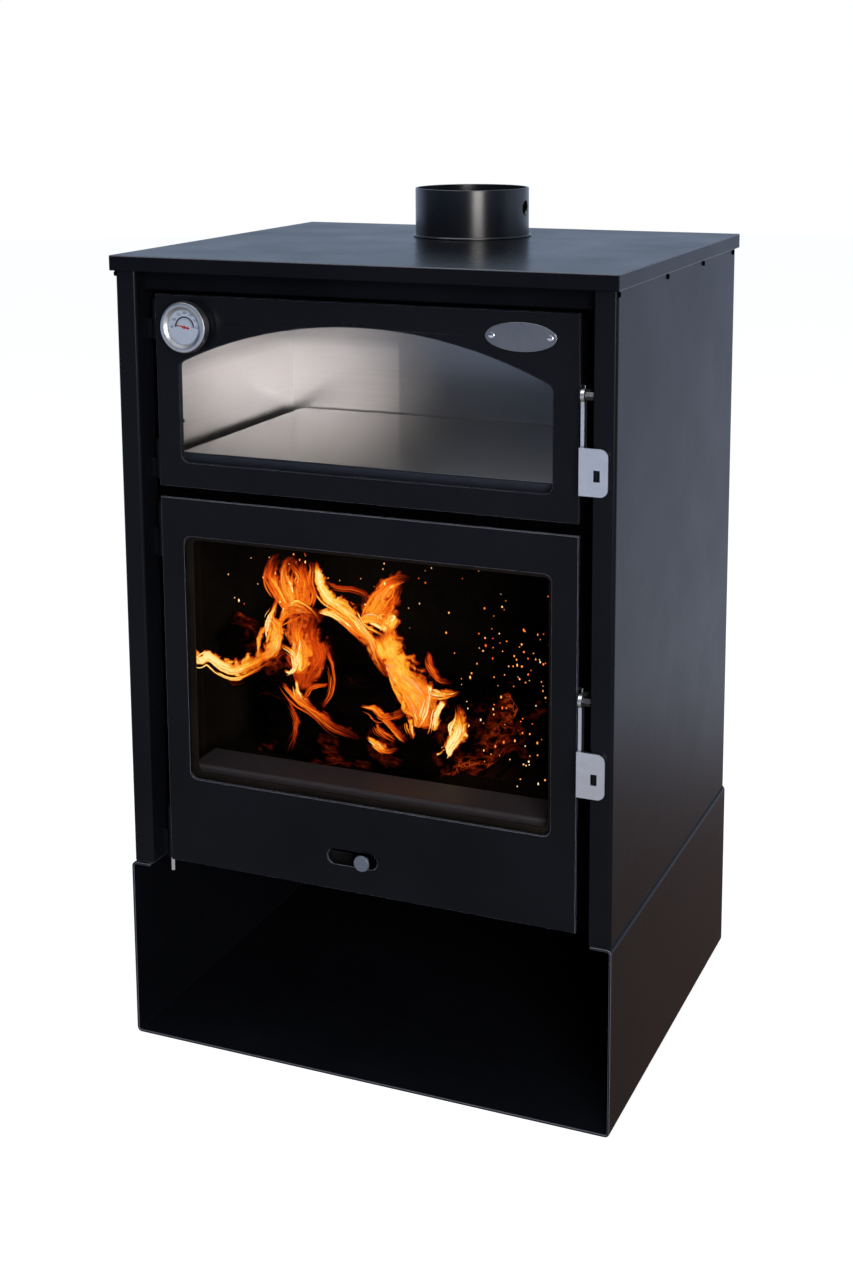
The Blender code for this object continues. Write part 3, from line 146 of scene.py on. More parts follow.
class Recipe:
    """A material and short ways to add and join its nodes."""

    def __init__(self, name):
        self.material = bpy.data.materials.new(name)
        self.material.use_nodes = True
        self.tree = self.material.node_tree
        self.shader = self.tree.nodes["Principled BSDF"]
        self.output = self.tree.nodes["Material Output"]
        self.place = None

    def node(self, kind, **inputs):
        made = self.tree.nodes.new("ShaderNode" + kind)
        for key, value in inputs.items():
            self.feed(made.inputs[key.replace("_", " ")], value)
        return made

    def feed(self, socket, value):
        if isinstance(value, bpy.types.NodeSocket):
            self.tree.links.new(value, socket)
        else:
            socket.default_value = value

    def spot(self, scale=(1, 1, 1)):
        """The point on the piece, stretched."""
        if self.place is None:
            self.place = self.node("TexCoord").outputs["Object"]
        return self.node("Mapping", Vector=self.place, Scale=scale).outputs["Vector"]

    def noise(self, scale, vector=None, detail=3.0, rough=0.5, twist=0.0):
        made = self.node(
            "TexNoise", Scale=scale, Detail=detail, Roughness=rough, Distortion=twist,
            Vector=vector if vector is not None else self.spot(),
        )
        return made.outputs["Fac"]

    def cells(self, scale, vector=None, feature="F1"):
        made = self.node(
            "TexVoronoi", Scale=scale, Vector=vector if vector is not None else self.spot(),
        )
        made.feature = feature
        return made.outputs["Distance"]

    def ramp(self, value, *stops):
        """Grey levels or colours at places along a value."""
        made = self.node("ValToRGB")
        self.feed(made.inputs["Fac"], value)
        points = made.color_ramp.elements
        while len(points) < len(stops):
            points.new(1.0)
        for point, (place, color) in zip(points, stops):
            point.position = place
            point.color = (*color, 1.0) if isinstance(color, tuple) else (color, color, color, 1.0)
        return made.outputs["Color"]

    def mottle(self, value, color, low, high):
        """A colour that wanders between two shares of itself."""
        return self.ramp(value, (0.3, tint(color, low)), (0.7, tint(color, high)))

    def math(self, work, a, b=0.0, limit=False):
        made = self.node("Math")
        made.operation = work
        made.use_clamp = limit
        self.feed(made.inputs[0], a)
        self.feed(made.inputs[1], b)
        return made.outputs["Value"]

    def plus(self, a, b, limit=False):
        return self.math("ADD", a, b, limit)

    def less(self, a, b, limit=False):
        return self.math("SUBTRACT", a, b, limit)

    def times(self, a, b, limit=False):
        return self.math("MULTIPLY", a, b, limit)

    def ridges(self, value, sharp):
        """Thin bright lines where a noise crosses its middle."""
        away = self.math("ABSOLUTE", self.less(self.times(value, 2.0), 1.0))
        return self.math("POWER", self.less(1.0, self.times(away, 1.6), limit=True), sharp)

    def blend(self, share, a, b):
        made = self.node("Mix")
        made.data_type = "RGBA"
        self.feed(made.inputs["Factor"], share)
        for socket, value in ((made.inputs[6], a), (made.inputs[7], b)):
            self.feed(socket, (*value, 1.0) if isinstance(value, tuple) else value)
        return made.outputs[2]

    def mix(self, share, a, b):
        """Two shaders mixed into the surface."""
        mixed = self.node("MixShader")
        for place, value in enumerate((share, a.outputs[0], b.outputs[0])):
            self.feed(mixed.inputs[place], value)
        self.feed(self.output.inputs["Surface"], mixed.outputs[0])

    def bump(self, height, strength, distance, normal=None):
        made = self.node("Bump", Height=height, Strength=strength, Distance=distance)
        if normal is not None:
            self.feed(made.inputs["Normal"], normal)
        return made.outputs["Normal"]

    def set(self, **values):
        """Sets the main shader, and gives the finished material."""
        for key, value in values.items():
            if isinstance(value, tuple) and len(value) == 3:
                value = (*value, 1.0)
            self.feed(self.shader.inputs[key.replace("_", " ")], value)
        return self.material


WHITE = (1.0, 1.0, 1.0)
# Oven sheet: tan of its stains, x past which painted shade darkens the back wall, y where the back
# wall starts, z above which painted shade darkens the walls
STAIN = (0.50, 0.44, 0.36)
SEAM = -0.105
BACK_WALL = 0.09
DULL_ABOVE = 0.843


class Sky(Recipe):
    """The world's nodes, joined in the same short ways."""

    def __init__(self, name):
        self.world = bpy.data.worlds.new(name)
        self.world.use_nodes = True
        self.tree = self.world.node_tree


def tint(color, share):
    return tuple(min(1.0, part * share) for part in color)


def satin_paint(finish, name="satin_stove_paint", shine=0.10, gloss=0.0):
    """Satin stove paint: even colour, fine grain, faint waves of rolled sheet."""
    made = Recipe(name)
    rough = finish.paint_roughness - gloss
    grain = made.bump(made.noise(1400.0, detail=2.0), 0.12, 0.00015)
    return made.set(
        Base_Color=made.mottle(made.noise(7.0, detail=5.0, rough=0.6), finish.paint, 0.8, 1.25),
        Roughness=made.ramp(made.noise(9.0), (0.3, rough - 0.02), (0.75, rough + 0.04)),
        Specular_IOR_Level=shine,
        Normal=made.bump(made.noise(3.2, detail=1.0), 0.10, 0.004, grain),
    )


def blackened_plate(finish):
    """Plate dulled by heat: dark grey with brown and ashy patches."""
    made = Recipe("blackened_plate")
    color = tuple(finish.blackened)
    patch = made.noise(9.0, detail=8.0, rough=0.7, twist=0.6)
    return made.set(
        Base_Color=made.ramp(
            patch, (0.3, tint(color, 0.6)), (0.52, color), (0.66, (0.030, 0.022, 0.017)),
            (0.8, (0.05, 0.047, 0.044)),
        ),
        Roughness=made.ramp(patch, (0.3, 0.5), (0.7, 0.78)),
        Normal=made.bump(made.noise(420.0, detail=4.0), 0.35, 0.0004),
    )


def brushed_stainless(finish, name, along, rough, seam=None):
    """Brushed sheet with fine streaks; painted shade darkens it past a step on the back wall and
    near the roof.
    """
    made = Recipe(name)
    streak = made.noise(1.0, made.spot(scale=along), detail=5.0, rough=0.7)
    stain = made.ramp(made.noise(5.0, detail=4.0, rough=0.6), (0.45, 0.0), (0.8, 0.35))
    sheet = made.blend(stain, made.mottle(streak, finish.stainless, 0.94, 1.04), STAIN)
    # Painted shade: the back wall past a given x and every wall above a given height are blended
    # towards a dark copy of the sheet
    if seam:
        split = made.node("SeparateXYZ", Vector=made.spot())
        past = made.times(made.less(split.outputs["X"], seam), 260.0, limit=True)
        back = made.math("GREATER_THAN", split.outputs["Y"], BACK_WALL)
        high = made.times(made.less(split.outputs["Z"], DULL_ABOVE), 60.0, limit=True)
        dull = made.plus(made.times(past, back), high, limit=True)
        sheet = made.blend(made.times(dull, 0.42), sheet, tint(finish.stainless, 0.35))
    return made.set(
        Base_Color=sheet, Metallic=1.0, Normal=made.bump(streak, 0.02, 0.0001),
        Roughness=made.ramp(streak, (0.3, rough - 0.03), (0.7, rough + 0.03)),
    )


def satin_steel(finish, name="satin_steel", share=1.0):
    """Ground steel with a soft grain and light handling marks."""
    made = Recipe(name)
    grain = made.noise(1.0, made.spot(scale=(900.0, 900.0, 60.0)), detail=4.0, rough=0.6)
    marks = made.noise(70.0, detail=6.0, rough=0.7)
    dull = made.ramp(marks, (0.4, 0.0), (0.8, 0.08))
    return made.set(
        Base_Color=made.mottle(marks, tint(finish.satin, share), 0.9, 1.05), Metallic=1.0,
        Roughness=made.plus(made.ramp(grain, (0.3, 0.26), (0.7, 0.36)), dull),
        Normal=made.bump(grain, 0.06, 0.0002),
    )


def bright_metal(finish, name, spots, shares, rings, shine):
    """Turned or plated metal with faint turning rings."""
    made = Recipe(name)
    return made.set(
        Base_Color=made.mottle(made.noise(*spots), finish.chrome, *shares), Metallic=1.0,
        Roughness=made.ramp(made.noise(rings, detail=4.0), (0.3, shine[0]), (0.7, shine[1])),
    )


def sooty_brick(finish):
    """Pressed firebrick, pitted, with soot over most of it."""
    made = Recipe("sooty_firebrick")
    color = tuple(finish.brick)
    speck = made.noise(160.0, detail=6.0, rough=0.75)
    soot = made.noise(5.5, detail=7.0, rough=0.65, twist=0.4)
    clean = made.ramp(speck, (0.3, tint(color, 0.7)), (0.6, color), (0.8, tint(color, 1.3)))
    cover = made.ramp(soot, (0.30, 0.93), (0.72, 0.995))
    return made.set(
        Base_Color=made.blend(cover, clean, (0.006, 0.0055, 0.005)), Roughness=0.92,
        Specular_IOR_Level=0.05, Normal=made.bump(speck, 0.5, 0.0012),
    )


def rope_weave(finish):
    """Braided glass rope, greyed by smoke."""
    made = Recipe("rope_weave")
    color = tuple(finish.rope)
    weave = made.cells(420.0)
    return made.set(
        Base_Color=made.blend(
            made.ramp(made.noise(14.0, detail=4.0), (0.35, 0.1), (0.7, 0.8)),
            made.ramp(weave, (0.1, color), (0.7, tint(color, 0.45))), tint(color, 0.25),
        ),
        Roughness=0.9, Normal=made.bump(weave, 0.6, 0.0012),
    )


def pane(name, through, dust, bend):
    """Glass that lets light straight through and adds its own reflection."""
    made = Recipe(name)
    clear = made.node("BsdfTransparent", Color=(*through, 1.0))
    smear = made.noise(9.0, detail=6.0, rough=0.7, twist=0.8)
    made.set(
        Base_Color=(0.003, 0.003, 0.003), Roughness=made.ramp(smear, (0.35, 0.02), (0.8, 0.09)),
    )
    sheen = made.node("Fresnel", IOR=bend)
    dusty = made.ramp(smear, (0.4, 0.0), (0.9, dust))
    share = made.plus(sheen.outputs["Fac"], dusty, limit=True)
    made.mix(share, clear, made.shader)
    return made.material


def dial_face(finish):
    """Printed dial sheet, a little uneven."""
    made = Recipe("dial_face")
    face = made.mottle(made.noise(300.0), finish.dial, 0.96, 1.03)
    return made.set(Base_Color=face, Roughness=0.45)


def enamel(name, color, roughness=0.35, shine=0.5):
    """Smooth lacquer on a small part."""
    made = Recipe(name)
    return made.set(
        Base_Color=made.mottle(made.noise(500.0, detail=2.0), color, 0.9, 1.1),
        Roughness=roughness, Specular_IOR_Level=shine,
    )


# Every finish by its name
COATS = {}


def make_coats(finish):
    """Builds every finish once."""
    walls, floor = (3.0, 3.0, 500.0), (3.0, 500.0, 3.0)
    COATS.update(
        stove_paint=satin_paint(finish),
        collar_paint=satin_paint(finish, "collar_paint", 0.55, 0.05),
        shaded_paint=satin_paint(finish, "shaded_paint", 0.0),
        # Painted shade: a copy of the paint with less reflection, for the lid's front faces
        lip_paint=satin_paint(finish, "lip_paint", 0.05),
        # Painted highlight on the eased edges; the doors' one is brighter still
        edge_paint=enamel("edge_paint", finish.worn, 0.3),
        door_edge=enamel("door_edge", tint(finish.worn, 4.5), 0.3),
        knob_paint=enamel("knob_paint", (0.105, 0.125, 0.165), 0.32),
        # Painted reflection: a dark blue colour on the oven tray's front lip that stands for the
        # dark surroundings it reflects
        lip_steel=enamel("lip_steel", (0.024, 0.026, 0.038), 0.4),
        cast_iron=blackened_plate(finish),
        guard_grey=enamel("guard_grey", (0.120, 0.128, 0.170), 0.6),
        # Painted shade: flat black without reflection, for parts that sit in shade: the front plate
        # in the door gaps, the screws under the lid and the air shutter
        gap_black=enamel("gap_black", (0.001, 0.001, 0.001), 0.9, 0.0),
        # The oven walls carry painted shade on the back wall's far side and near the roof
        stainless=brushed_stainless(finish, "stainless_walls", walls, 0.34, SEAM),
        stainless_floor=brushed_stainless(finish, "stainless_floor", floor, 0.22),
        satin_steel=satin_steel(finish),
        badge_steel=satin_steel(finish, "badge_steel", 0.34),
        bolt_steel=satin_steel(finish, "bolt_steel", 0.16),
        chrome=bright_metal(finish, "chrome_plate", (120.0,), (0.94, 1.04), 260.0, (0.12, 0.22)),
        firebrick=sooty_brick(finish),
        rope_seal=rope_weave(finish),
        oven_glass=pane("oven_pane", (0.95, 0.96, 0.97), 0.02, 1.25),
        fire_glass=pane("fire_pane", (0.80, 0.77, 0.74), 0.004, 1.14),
        dial_white=dial_face(finish),
        needle_red=enamel("needle_lacquer", finish.needle),
        bezel_steel=bright_metal(
            finish, "turned_steel", (90.0, None, 4.0), (0.80, 0.92), 240.0, (0.28, 0.36),
        ),
        print_black=enamel("dial_print", (0.01, 0.01, 0.012)),
    )


def calm():
    """Leaves edit mode and deselects everything."""
    if bpy.context.object and bpy.context.object.mode != "OBJECT":
        bpy.ops.object.mode_set(mode="OBJECT")
    for thing in bpy.context.view_layer.objects.selected[:]:
        thing.select_set(False)


def hold(piece):
    """Makes one piece the selected and active one."""
    calm()
    piece.select_set(True)
    bpy.context.view_layer.objects.active = piece


def edit_all():
    """Opens the active piece's mesh with all of it selected."""
    bpy.ops.object.mode_set(mode="EDIT")
    bpy.ops.mesh.select_all(action="SELECT")


def close():
    """Leaves edit mode."""
    bpy.ops.object.mode_set(mode="OBJECT")


def settle():
    """Puts the active piece's place into its mesh."""
    bpy.ops.object.transform_apply(location=True, rotation=True, scale=True)
    return bpy.context.object


def join_all(parts, name):
    """Joins parts into the first one."""
    calm()
    for part in parts:
        part.select_set(True)
    bpy.context.view_layer.objects.active = parts[0]
    bpy.ops.object.join()
    parts[0].name = name
    return parts[0]


def fit_modifier(piece, kind, **values):
    """Adds a modifier and applies it."""
    hold(piece)
    bpy.ops.object.modifier_add(type=kind)
    added = piece.modifiers[-1]
    for key, value in values.items():
        setattr(added, key, value)
    bpy.ops.object.modifier_apply(modifier=added.name)


def ease(piece, edge, rounds=2, smooth=30.0, rim=-1):
    """Eases the sharp edges, with the coat in slot rim on them, and smooths what is left."""
    if edge > 0.0:
        fit_modifier(
            piece, "BEVEL", width=edge, segments=rounds, limit_method="ANGLE", material=rim,
            angle_limit=math.radians(CRISP), use_clamp_overlap=True, harden_normals=False,
        )
    hold(piece)
    bpy.ops.object.shade_smooth_by_angle(angle=math.radians(smooth))
    fit_modifier(piece, "WEIGHTED_NORMAL", keep_sharp=True, weight=80)
    return piece


def wear(piece, coat, body):
    """Gives a finished piece its material and body."""
    piece.data.materials.clear()
    piece.data.materials.append(COATS[coat])
    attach(piece, body)
    return piece


# Loose corners of a CAD node this close become one, and faces this flat, in degrees, are joined
MERGE = 0.00002
FLAT = 0.3
# Edges sharper than this, in degrees, are eased
CRISP = 35.0
# Turn of a flat shape that faces the front
UPRIGHT = (math.radians(90), 0, 0)
BACKWARDS = Vector((0, 1, 0))


def from_node(node):
    """A merged copy of a CAD node's mesh, ready to be finished."""
    source = frame["nodes"][node]
    piece = bpy.data.objects.new(node + "_visual", source.data.copy())
    bpy.context.scene.collection.objects.link(piece)
    hold(piece)
    edit_all()
    bpy.ops.mesh.remove_doubles(threshold=MERGE)
    bpy.ops.mesh.dissolve_limited(angle_limit=math.radians(FLAT), use_dissolve_boundaries=False)
    close()
    return piece


def dress(node, coat, edge=0.0005, rounds=2, smooth=30.0, rim=None):
    """The finished piece that stands for a CAD node, with the coat rim on its edges."""
    piece = wear(from_node(node), coat, frame["nodes"][node]["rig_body"])
    if rim:
        piece.data.materials.append(COATS[rim])
    ease(piece, edge, rounds, smooth, 1 if rim else -1)
    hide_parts(node)
    return piece


def recoat(piece, coat, chosen):
    """Gives another coat to the faces that a test picks."""
    piece.data.materials.append(COATS[coat])
    for face in piece.data.polygons:
        if chosen(face):
            face.material_index = len(piece.data.materials) - 1


class STOVE_OT_finishes(bpy.types.Operator):
    """Make the finishes that the stove's parts wear"""

    bl_idname = "stove.finishes"
    bl_label = "Finishes"

    def execute(self, context):
        make_coats(context.scene.stove_finish)
        return {"FINISHED"}


def screws(name, spots, way, radius, coat, body, tall=0.0016):
    """Round screw heads with a hollow in them, one at each spot, facing one way."""
    heads = []
    for spot in spots:
        calm()
        bpy.ops.mesh.primitive_cylinder_add(
            vertices=24, radius=radius, depth=tall,
            location=Vector(spot) + way * (tall / 2 - SCREW_SINK),
            rotation=way.to_track_quat("Z", "Y").to_euler(),
        )
        head = settle()
        bpy.ops.object.mode_set(mode="EDIT")
        shape = bmesh.from_edit_mesh(head.data)
        for side in shape.faces:
            side.select = side.normal.dot(way) > 0.9
        bmesh.update_edit_mesh(head.data)
        bpy.ops.mesh.inset(thickness=radius * 0.5)
        bpy.ops.mesh.extrude_region_move(TRANSFORM_OT_translate={"value": way * -0.5 * tall})
        close()
        heads.append(head)
    head = join_all(heads, name)
    return wear(ease(head, 0.0003), coat, body)


# Screws: how deep a head is sunk, radii at the sides and back, where they stand along a side and
# how far under the lid's foot, and shares of the back's height and how far from its edge
SCREW_SINK = 0.0001
SIDE_SCREW, BACK_SCREW = 0.0032, 0.0040
SIDE_SCREWS = (-0.261, -0.069, 0.094, 0.248)
SIDE_SCREW_DROP = 0.0042
BACK_SCREWS = (0.04, 0.28, 0.52, 0.76, 0.975)
BACK_SCREW_INSET = 0.012
# Frame round the store's back wall: gap to the sheet, sheet, width
LIP_GAP = 0.0031
LIP_SHEET = 0.0016
LIP_WIDTH = 0.012


def store_lip():
    """A flat frame inside the store that covers the joint round its back wall."""
    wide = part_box("base_shell")[1].x - LIP_GAP
    low, top = LIP_GAP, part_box("body_floor")[0].z - 0.0001
    calm()
    bpy.ops.mesh.primitive_plane_add(
        size=1.0, location=(0.0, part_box("base_back")[0].y - 0.0009, (low + top) / 2),
        rotation=UPRIGHT,
    )
    bpy.context.object.scale = (wide * 2, top - low, 1.0)
    lip = settle()
    lip.name = "base_back_lip"
    edit_all()
    bpy.ops.mesh.inset(thickness=LIP_WIDTH)
    bpy.ops.mesh.delete(type="FACE")
    close()
    fit_modifier(lip, "SOLIDIFY", thickness=LIP_SHEET, offset=0.0)
    wear(ease(lip, 0.0003), "stove_paint", "stove")


class STOVE_OT_body(bpy.types.Operator):
    """Dress the outer sheets: log store, sides, header, back and lid"""

    bl_idname = "stove.body"
    bl_label = "Outer sheets"

    def execute(self, context):
        edge = context.scene.stove_finish.edge
        # The eased edges of these sheets and of the lid carry the painted edge highlight
        for node in ("base_shell", "base_back", "side_left", "side_right"):
            dress(node, "stove_paint", edge * 1.8, 3, rim="edge_paint")
        lid = dress("lid", "stove_paint", edge * 1.8, 3, rim="edge_paint")
        # The lid's front faces get the less reflective copy of the paint as painted shade
        recoat(lid, "lip_paint", lambda face: face.normal.z < 0.1 and face.normal.y < -0.3)
        dress("front_header", "shaded_paint", edge)
        dress("back_panel", "stove_paint", edge * 0.6)
        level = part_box("lid")[0].z - SIDE_SCREW_DROP
        for name, way in (("left", -1), ("right", 1)):
            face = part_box("side_" + name)[way > 0].x
            spots = [(face, deep, level) for deep in SIDE_SCREWS]
            # The screws under the lid's foot are painted shade black
            screws("screws_" + name, spots, Vector((way, 0, 0)), SIDE_SCREW, "gap_black", "stove")
        low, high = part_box("back_panel")
        spots = [
            (side * (high.x - BACK_SCREW_INSET), high.y, low.z + (high.z - low.z) * share)
            for side in (-1, 1) for share in BACK_SCREWS
        ]
        screws("screws_back", spots, BACKWARDS, BACK_SCREW, "knob_paint", "stove")
        store_lip()
        return {"FINISHED"}


class STOVE_OT_flue(bpy.types.Operator):
    """Dress the flue collar and the bead at its foot"""

    bl_idname = "stove.flue"
    bl_label = "Flue collar"

    def execute(self, context):
        dress("flue_collar", "collar_paint", 0.0004)
        dress("flue_ring", "collar_paint", 0.0004)
        return {"FINISHED"}


class STOVE_OT_firebox(bpy.types.Operator):
    """Dress the firebox: plates, bricks, grate and ash pan"""

    bl_idname = "stove.firebox"
    bl_label = "Firebox"

    def execute(self, context):
        for node in ("body_floor", "firebox_shell", "smoke_top", "fire_floor"):
            dress(node, "cast_iron")
        # The front plate seen in the door gaps is painted shade black
        dress("front_plate", "gap_black")
        dress("log_guard", "guard_grey")
        for node in ("grate", "ash_pan"):
            dress(node, "cast_iron", 0.0006)
        for node in ("brick_left", "brick_right", "brick_back", "brick_floor", "baffle"):
            dress(node, "firebrick", 0.002)
        return {"FINISHED"}


class STOVE_OT_oven(bpy.types.Operator):
    """Dress the stainless oven box and its floor"""

    bl_idname = "stove.oven"
    bl_label = "Oven"

    def execute(self, context):
        dress("oven_shell", "stainless")
        tray = dress("oven_tray", "stainless_floor")
        # The tray's front faces get a dark colour as painted reflection
        recoat(tray, "lip_steel", lambda face: face.normal.y < -0.5)
        return {"FINISHED"}


# Screws of the glass frames: radius, height of a head, inset, and shares along the foot, the
# sides and the top
FRAME_SCREW, FRAME_HEAD = 0.0028, 0.0014
FRAME_INSET = 0.0055
FRAME_SCREWS = {
    "oven": ((-0.65, 0.0, 0.65), (0.3,), (0.0,)),
    "fire": ((-0.75, -0.25, 0.25, 0.75), (0.2, 0.5, 0.8), (-0.75, -0.25, 0.25, 0.75)),
}


class STOVE_OT_doors(bpy.types.Operator):
    """Dress both doors with their rims, frames, panes and seals"""

    bl_idname = "stove.doors"
    bl_label = "Doors"

    def execute(self, context):
        edge = context.scene.stove_finish.edge
        for door in ("oven", "fire"):
            # The eased edges of the door skins carry the brighter painted edge highlight
            dress(door + "_door_skin", "stove_paint", edge * 2.4, 3, rim="door_edge")
            dress(door + "_door_rim", "stove_paint", edge)
            dress(door + "_glass_frame", "cast_iron", edge)
            dress(door + "_gasket", "rope_seal", 0.0, smooth=60.0)
            dress(door + "_strike", "chrome", 0.0003)
            dress(door + "_glass", door + "_glass", 0.0004)
            low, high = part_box(door + "_glass_frame")
            right, foot, top = high.x - FRAME_INSET, low.z + FRAME_INSET, high.z - FRAME_INSET
            across, up, over = FRAME_SCREWS[door]
            spots = [(right * share, foot) for share in across]
            spots += [
                (right * way, low.z + (high.z - low.z) * share) for way in (-1, 1) for share in up
            ]
            spots += [(right * share, top) for share in over]
            spots, name = [(x, high.y, z) for x, z in spots], door + "_frame_screws"
            screws(name, spots, BACKWARDS, FRAME_SCREW, "chrome", door + "_door", FRAME_HEAD)
        return {"FINISHED"}


class STOVE_OT_hinges(bpy.types.Operator):
    """Dress the hinge leaves and pins"""

    bl_idname = "stove.hinges"
    bl_label = "Hinges"

    def execute(self, context):
        for place in (1, 2, 3, 4):
            dress("hinge_leaf_%d" % place, "stove_paint", 0.0003)
            dress("hinge_pin_%d" % place, "chrome", 0.0004)
        return {"FINISHED"}


class STOVE_OT_latches(bpy.types.Operator):
    """Dress the two latch levers and their bolts"""

    bl_idname = "stove.latches"
    bl_label = "Latches"

    def execute(self, context):
        for door in ("oven", "fire"):
            dress(door + "_lever", "satin_steel", 0.0004)
            dress(door + "_pivot_bolt", "bolt_steel", 0.0004, rim="chrome")
        return {"FINISHED"}


# Print on the dial: how many, radii, sizes, and how far it stands in front of the face
MARKS, NUMBERS = 25, 7
DIAL_RING = 0.0130
RING_WIDTH = 0.0018
MARK_RING = DIAL_RING - 0.0030
LONG_MARK, SHORT_MARK, MARK_WIDTH = 0.0018, 0.0010, 0.0004
NUMBER_RING = 0.0172
NUMBER_SIZE = 0.0041
PRINT_PROUD = 0.00015


def half_ring(x, z, y, outer, inner):
    """A flat half ring over a centre, facing the front."""
    calm()
    bpy.ops.mesh.primitive_circle_add(
        vertices=96, radius=outer, fill_type="NOTHING", location=(x, y, z), rotation=UPRIGHT,
    )
    ring = settle()
    edit_all()
    bpy.ops.mesh.extrude_edges_move()
    bpy.ops.transform.resize(value=(inner / outer,) * 3, center_override=(x, y, z))
    bpy.ops.mesh.select_all(action="DESELECT")
    shape = bmesh.from_edit_mesh(ring.data)
    for vert in shape.verts:
        vert.select = vert.co.z < z - 0.0004
    shape.select_flush_mode()
    bmesh.update_edit_mesh(ring.data)
    bpy.ops.mesh.delete(type="VERT")
    close()
    return ring


def mark(x, z, y, angle, length):
    """One mark of the scale, pointing at the centre."""
    calm()
    bpy.ops.mesh.primitive_plane_add(size=1.0)
    stroke = bpy.context.object
    stroke.scale = (length, MARK_WIDTH, 1.0)
    settle()
    stroke.rotation_euler = UPRIGHT
    settle()
    stroke.rotation_euler = (0.0, -angle, 0.0)
    stroke.location = (x + MARK_RING * math.cos(angle), y, z + MARK_RING * math.sin(angle))
    return settle()


def number(words, place):
    """A printed number, centred on a place and facing the front."""
    calm()
    bpy.ops.object.text_add(location=place, rotation=UPRIGHT)
    text = bpy.context.object
    text.data.body = words
    text.data.size = NUMBER_SIZE
    text.data.align_x = "CENTER"
    text.data.align_y = "CENTER"
    bpy.ops.object.convert(target="MESH")
    return settle()


def print_dial():
    """Scale on the dial: a half ring, marks inside it and numbers round it."""
    low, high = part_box("thermo_dial")
    x, _, z = (low + high) / 2
    y = low.y - PRINT_PROUD
    made = [half_ring(x, z, y, DIAL_RING, DIAL_RING - RING_WIDTH)]
    for step in range(MARKS):
        angle = math.radians(180.0 - 180.0 / (MARKS - 1) * step)
        length = SHORT_MARK if step % 4 else LONG_MARK
        made.append(mark(x, z, y, angle, length))
    for step in range(NUMBERS):
        angle = math.radians(180.0 - 180.0 / (NUMBERS - 1) * step)
        place = (x + NUMBER_RING * math.cos(angle), y, z + NUMBER_RING * math.sin(angle))
        made.append(number(str(step * 50 + 50), place))
    wear(join_all(made, "dial_print"), "print_black", "oven_door")


class STOVE_OT_thermometer(bpy.types.Operator):
    """Dress the thermometer: case, bezel, dial, needle and lens"""

    bl_idname = "stove.thermometer"
    bl_label = "Thermometer"

    def execute(self, context):
        dress("thermo_body", "satin_steel", 0.0003)
        dress("thermo_bezel", "bezel_steel", 0.0002)
        dress("thermo_dial", "dial_white", 0.0001)
        dress("thermo_needle", "needle_red", 0.0001)
        dress("thermo_lens", "oven_glass", 0.0002)
        print_dial()
        return {"FINISHED"}


class STOVE_OT_badge(bpy.types.Operator):
    """Dress the bare oval plate and its rivets"""

    bl_idname = "stove.badge"
    bl_label = "Oval plate"

    def execute(self, context):
        dress("badge_plate", "badge_steel", 0.0008, 3, rim="bezel_steel")
        dress("badge_rivet_left", "chrome", 0.0003)
        dress("badge_rivet_right", "chrome", 0.0003)
        return {"FINISHED"}


class STOVE_OT_air(bpy.types.Operator):
    """Dress the air control: channel, shutter and knob"""

    bl_idname = "stove.air"
    bl_label = "Air control"

    def execute(self, context):
        dress("air_channel", "stove_paint", 0.0003)
        # The shutter is painted shade black
        dress("air_shutter", "gap_black", 0.0003)
        dress("air_knob", "knob_paint", 0.0006, 3)
        return {"FINISHED"}


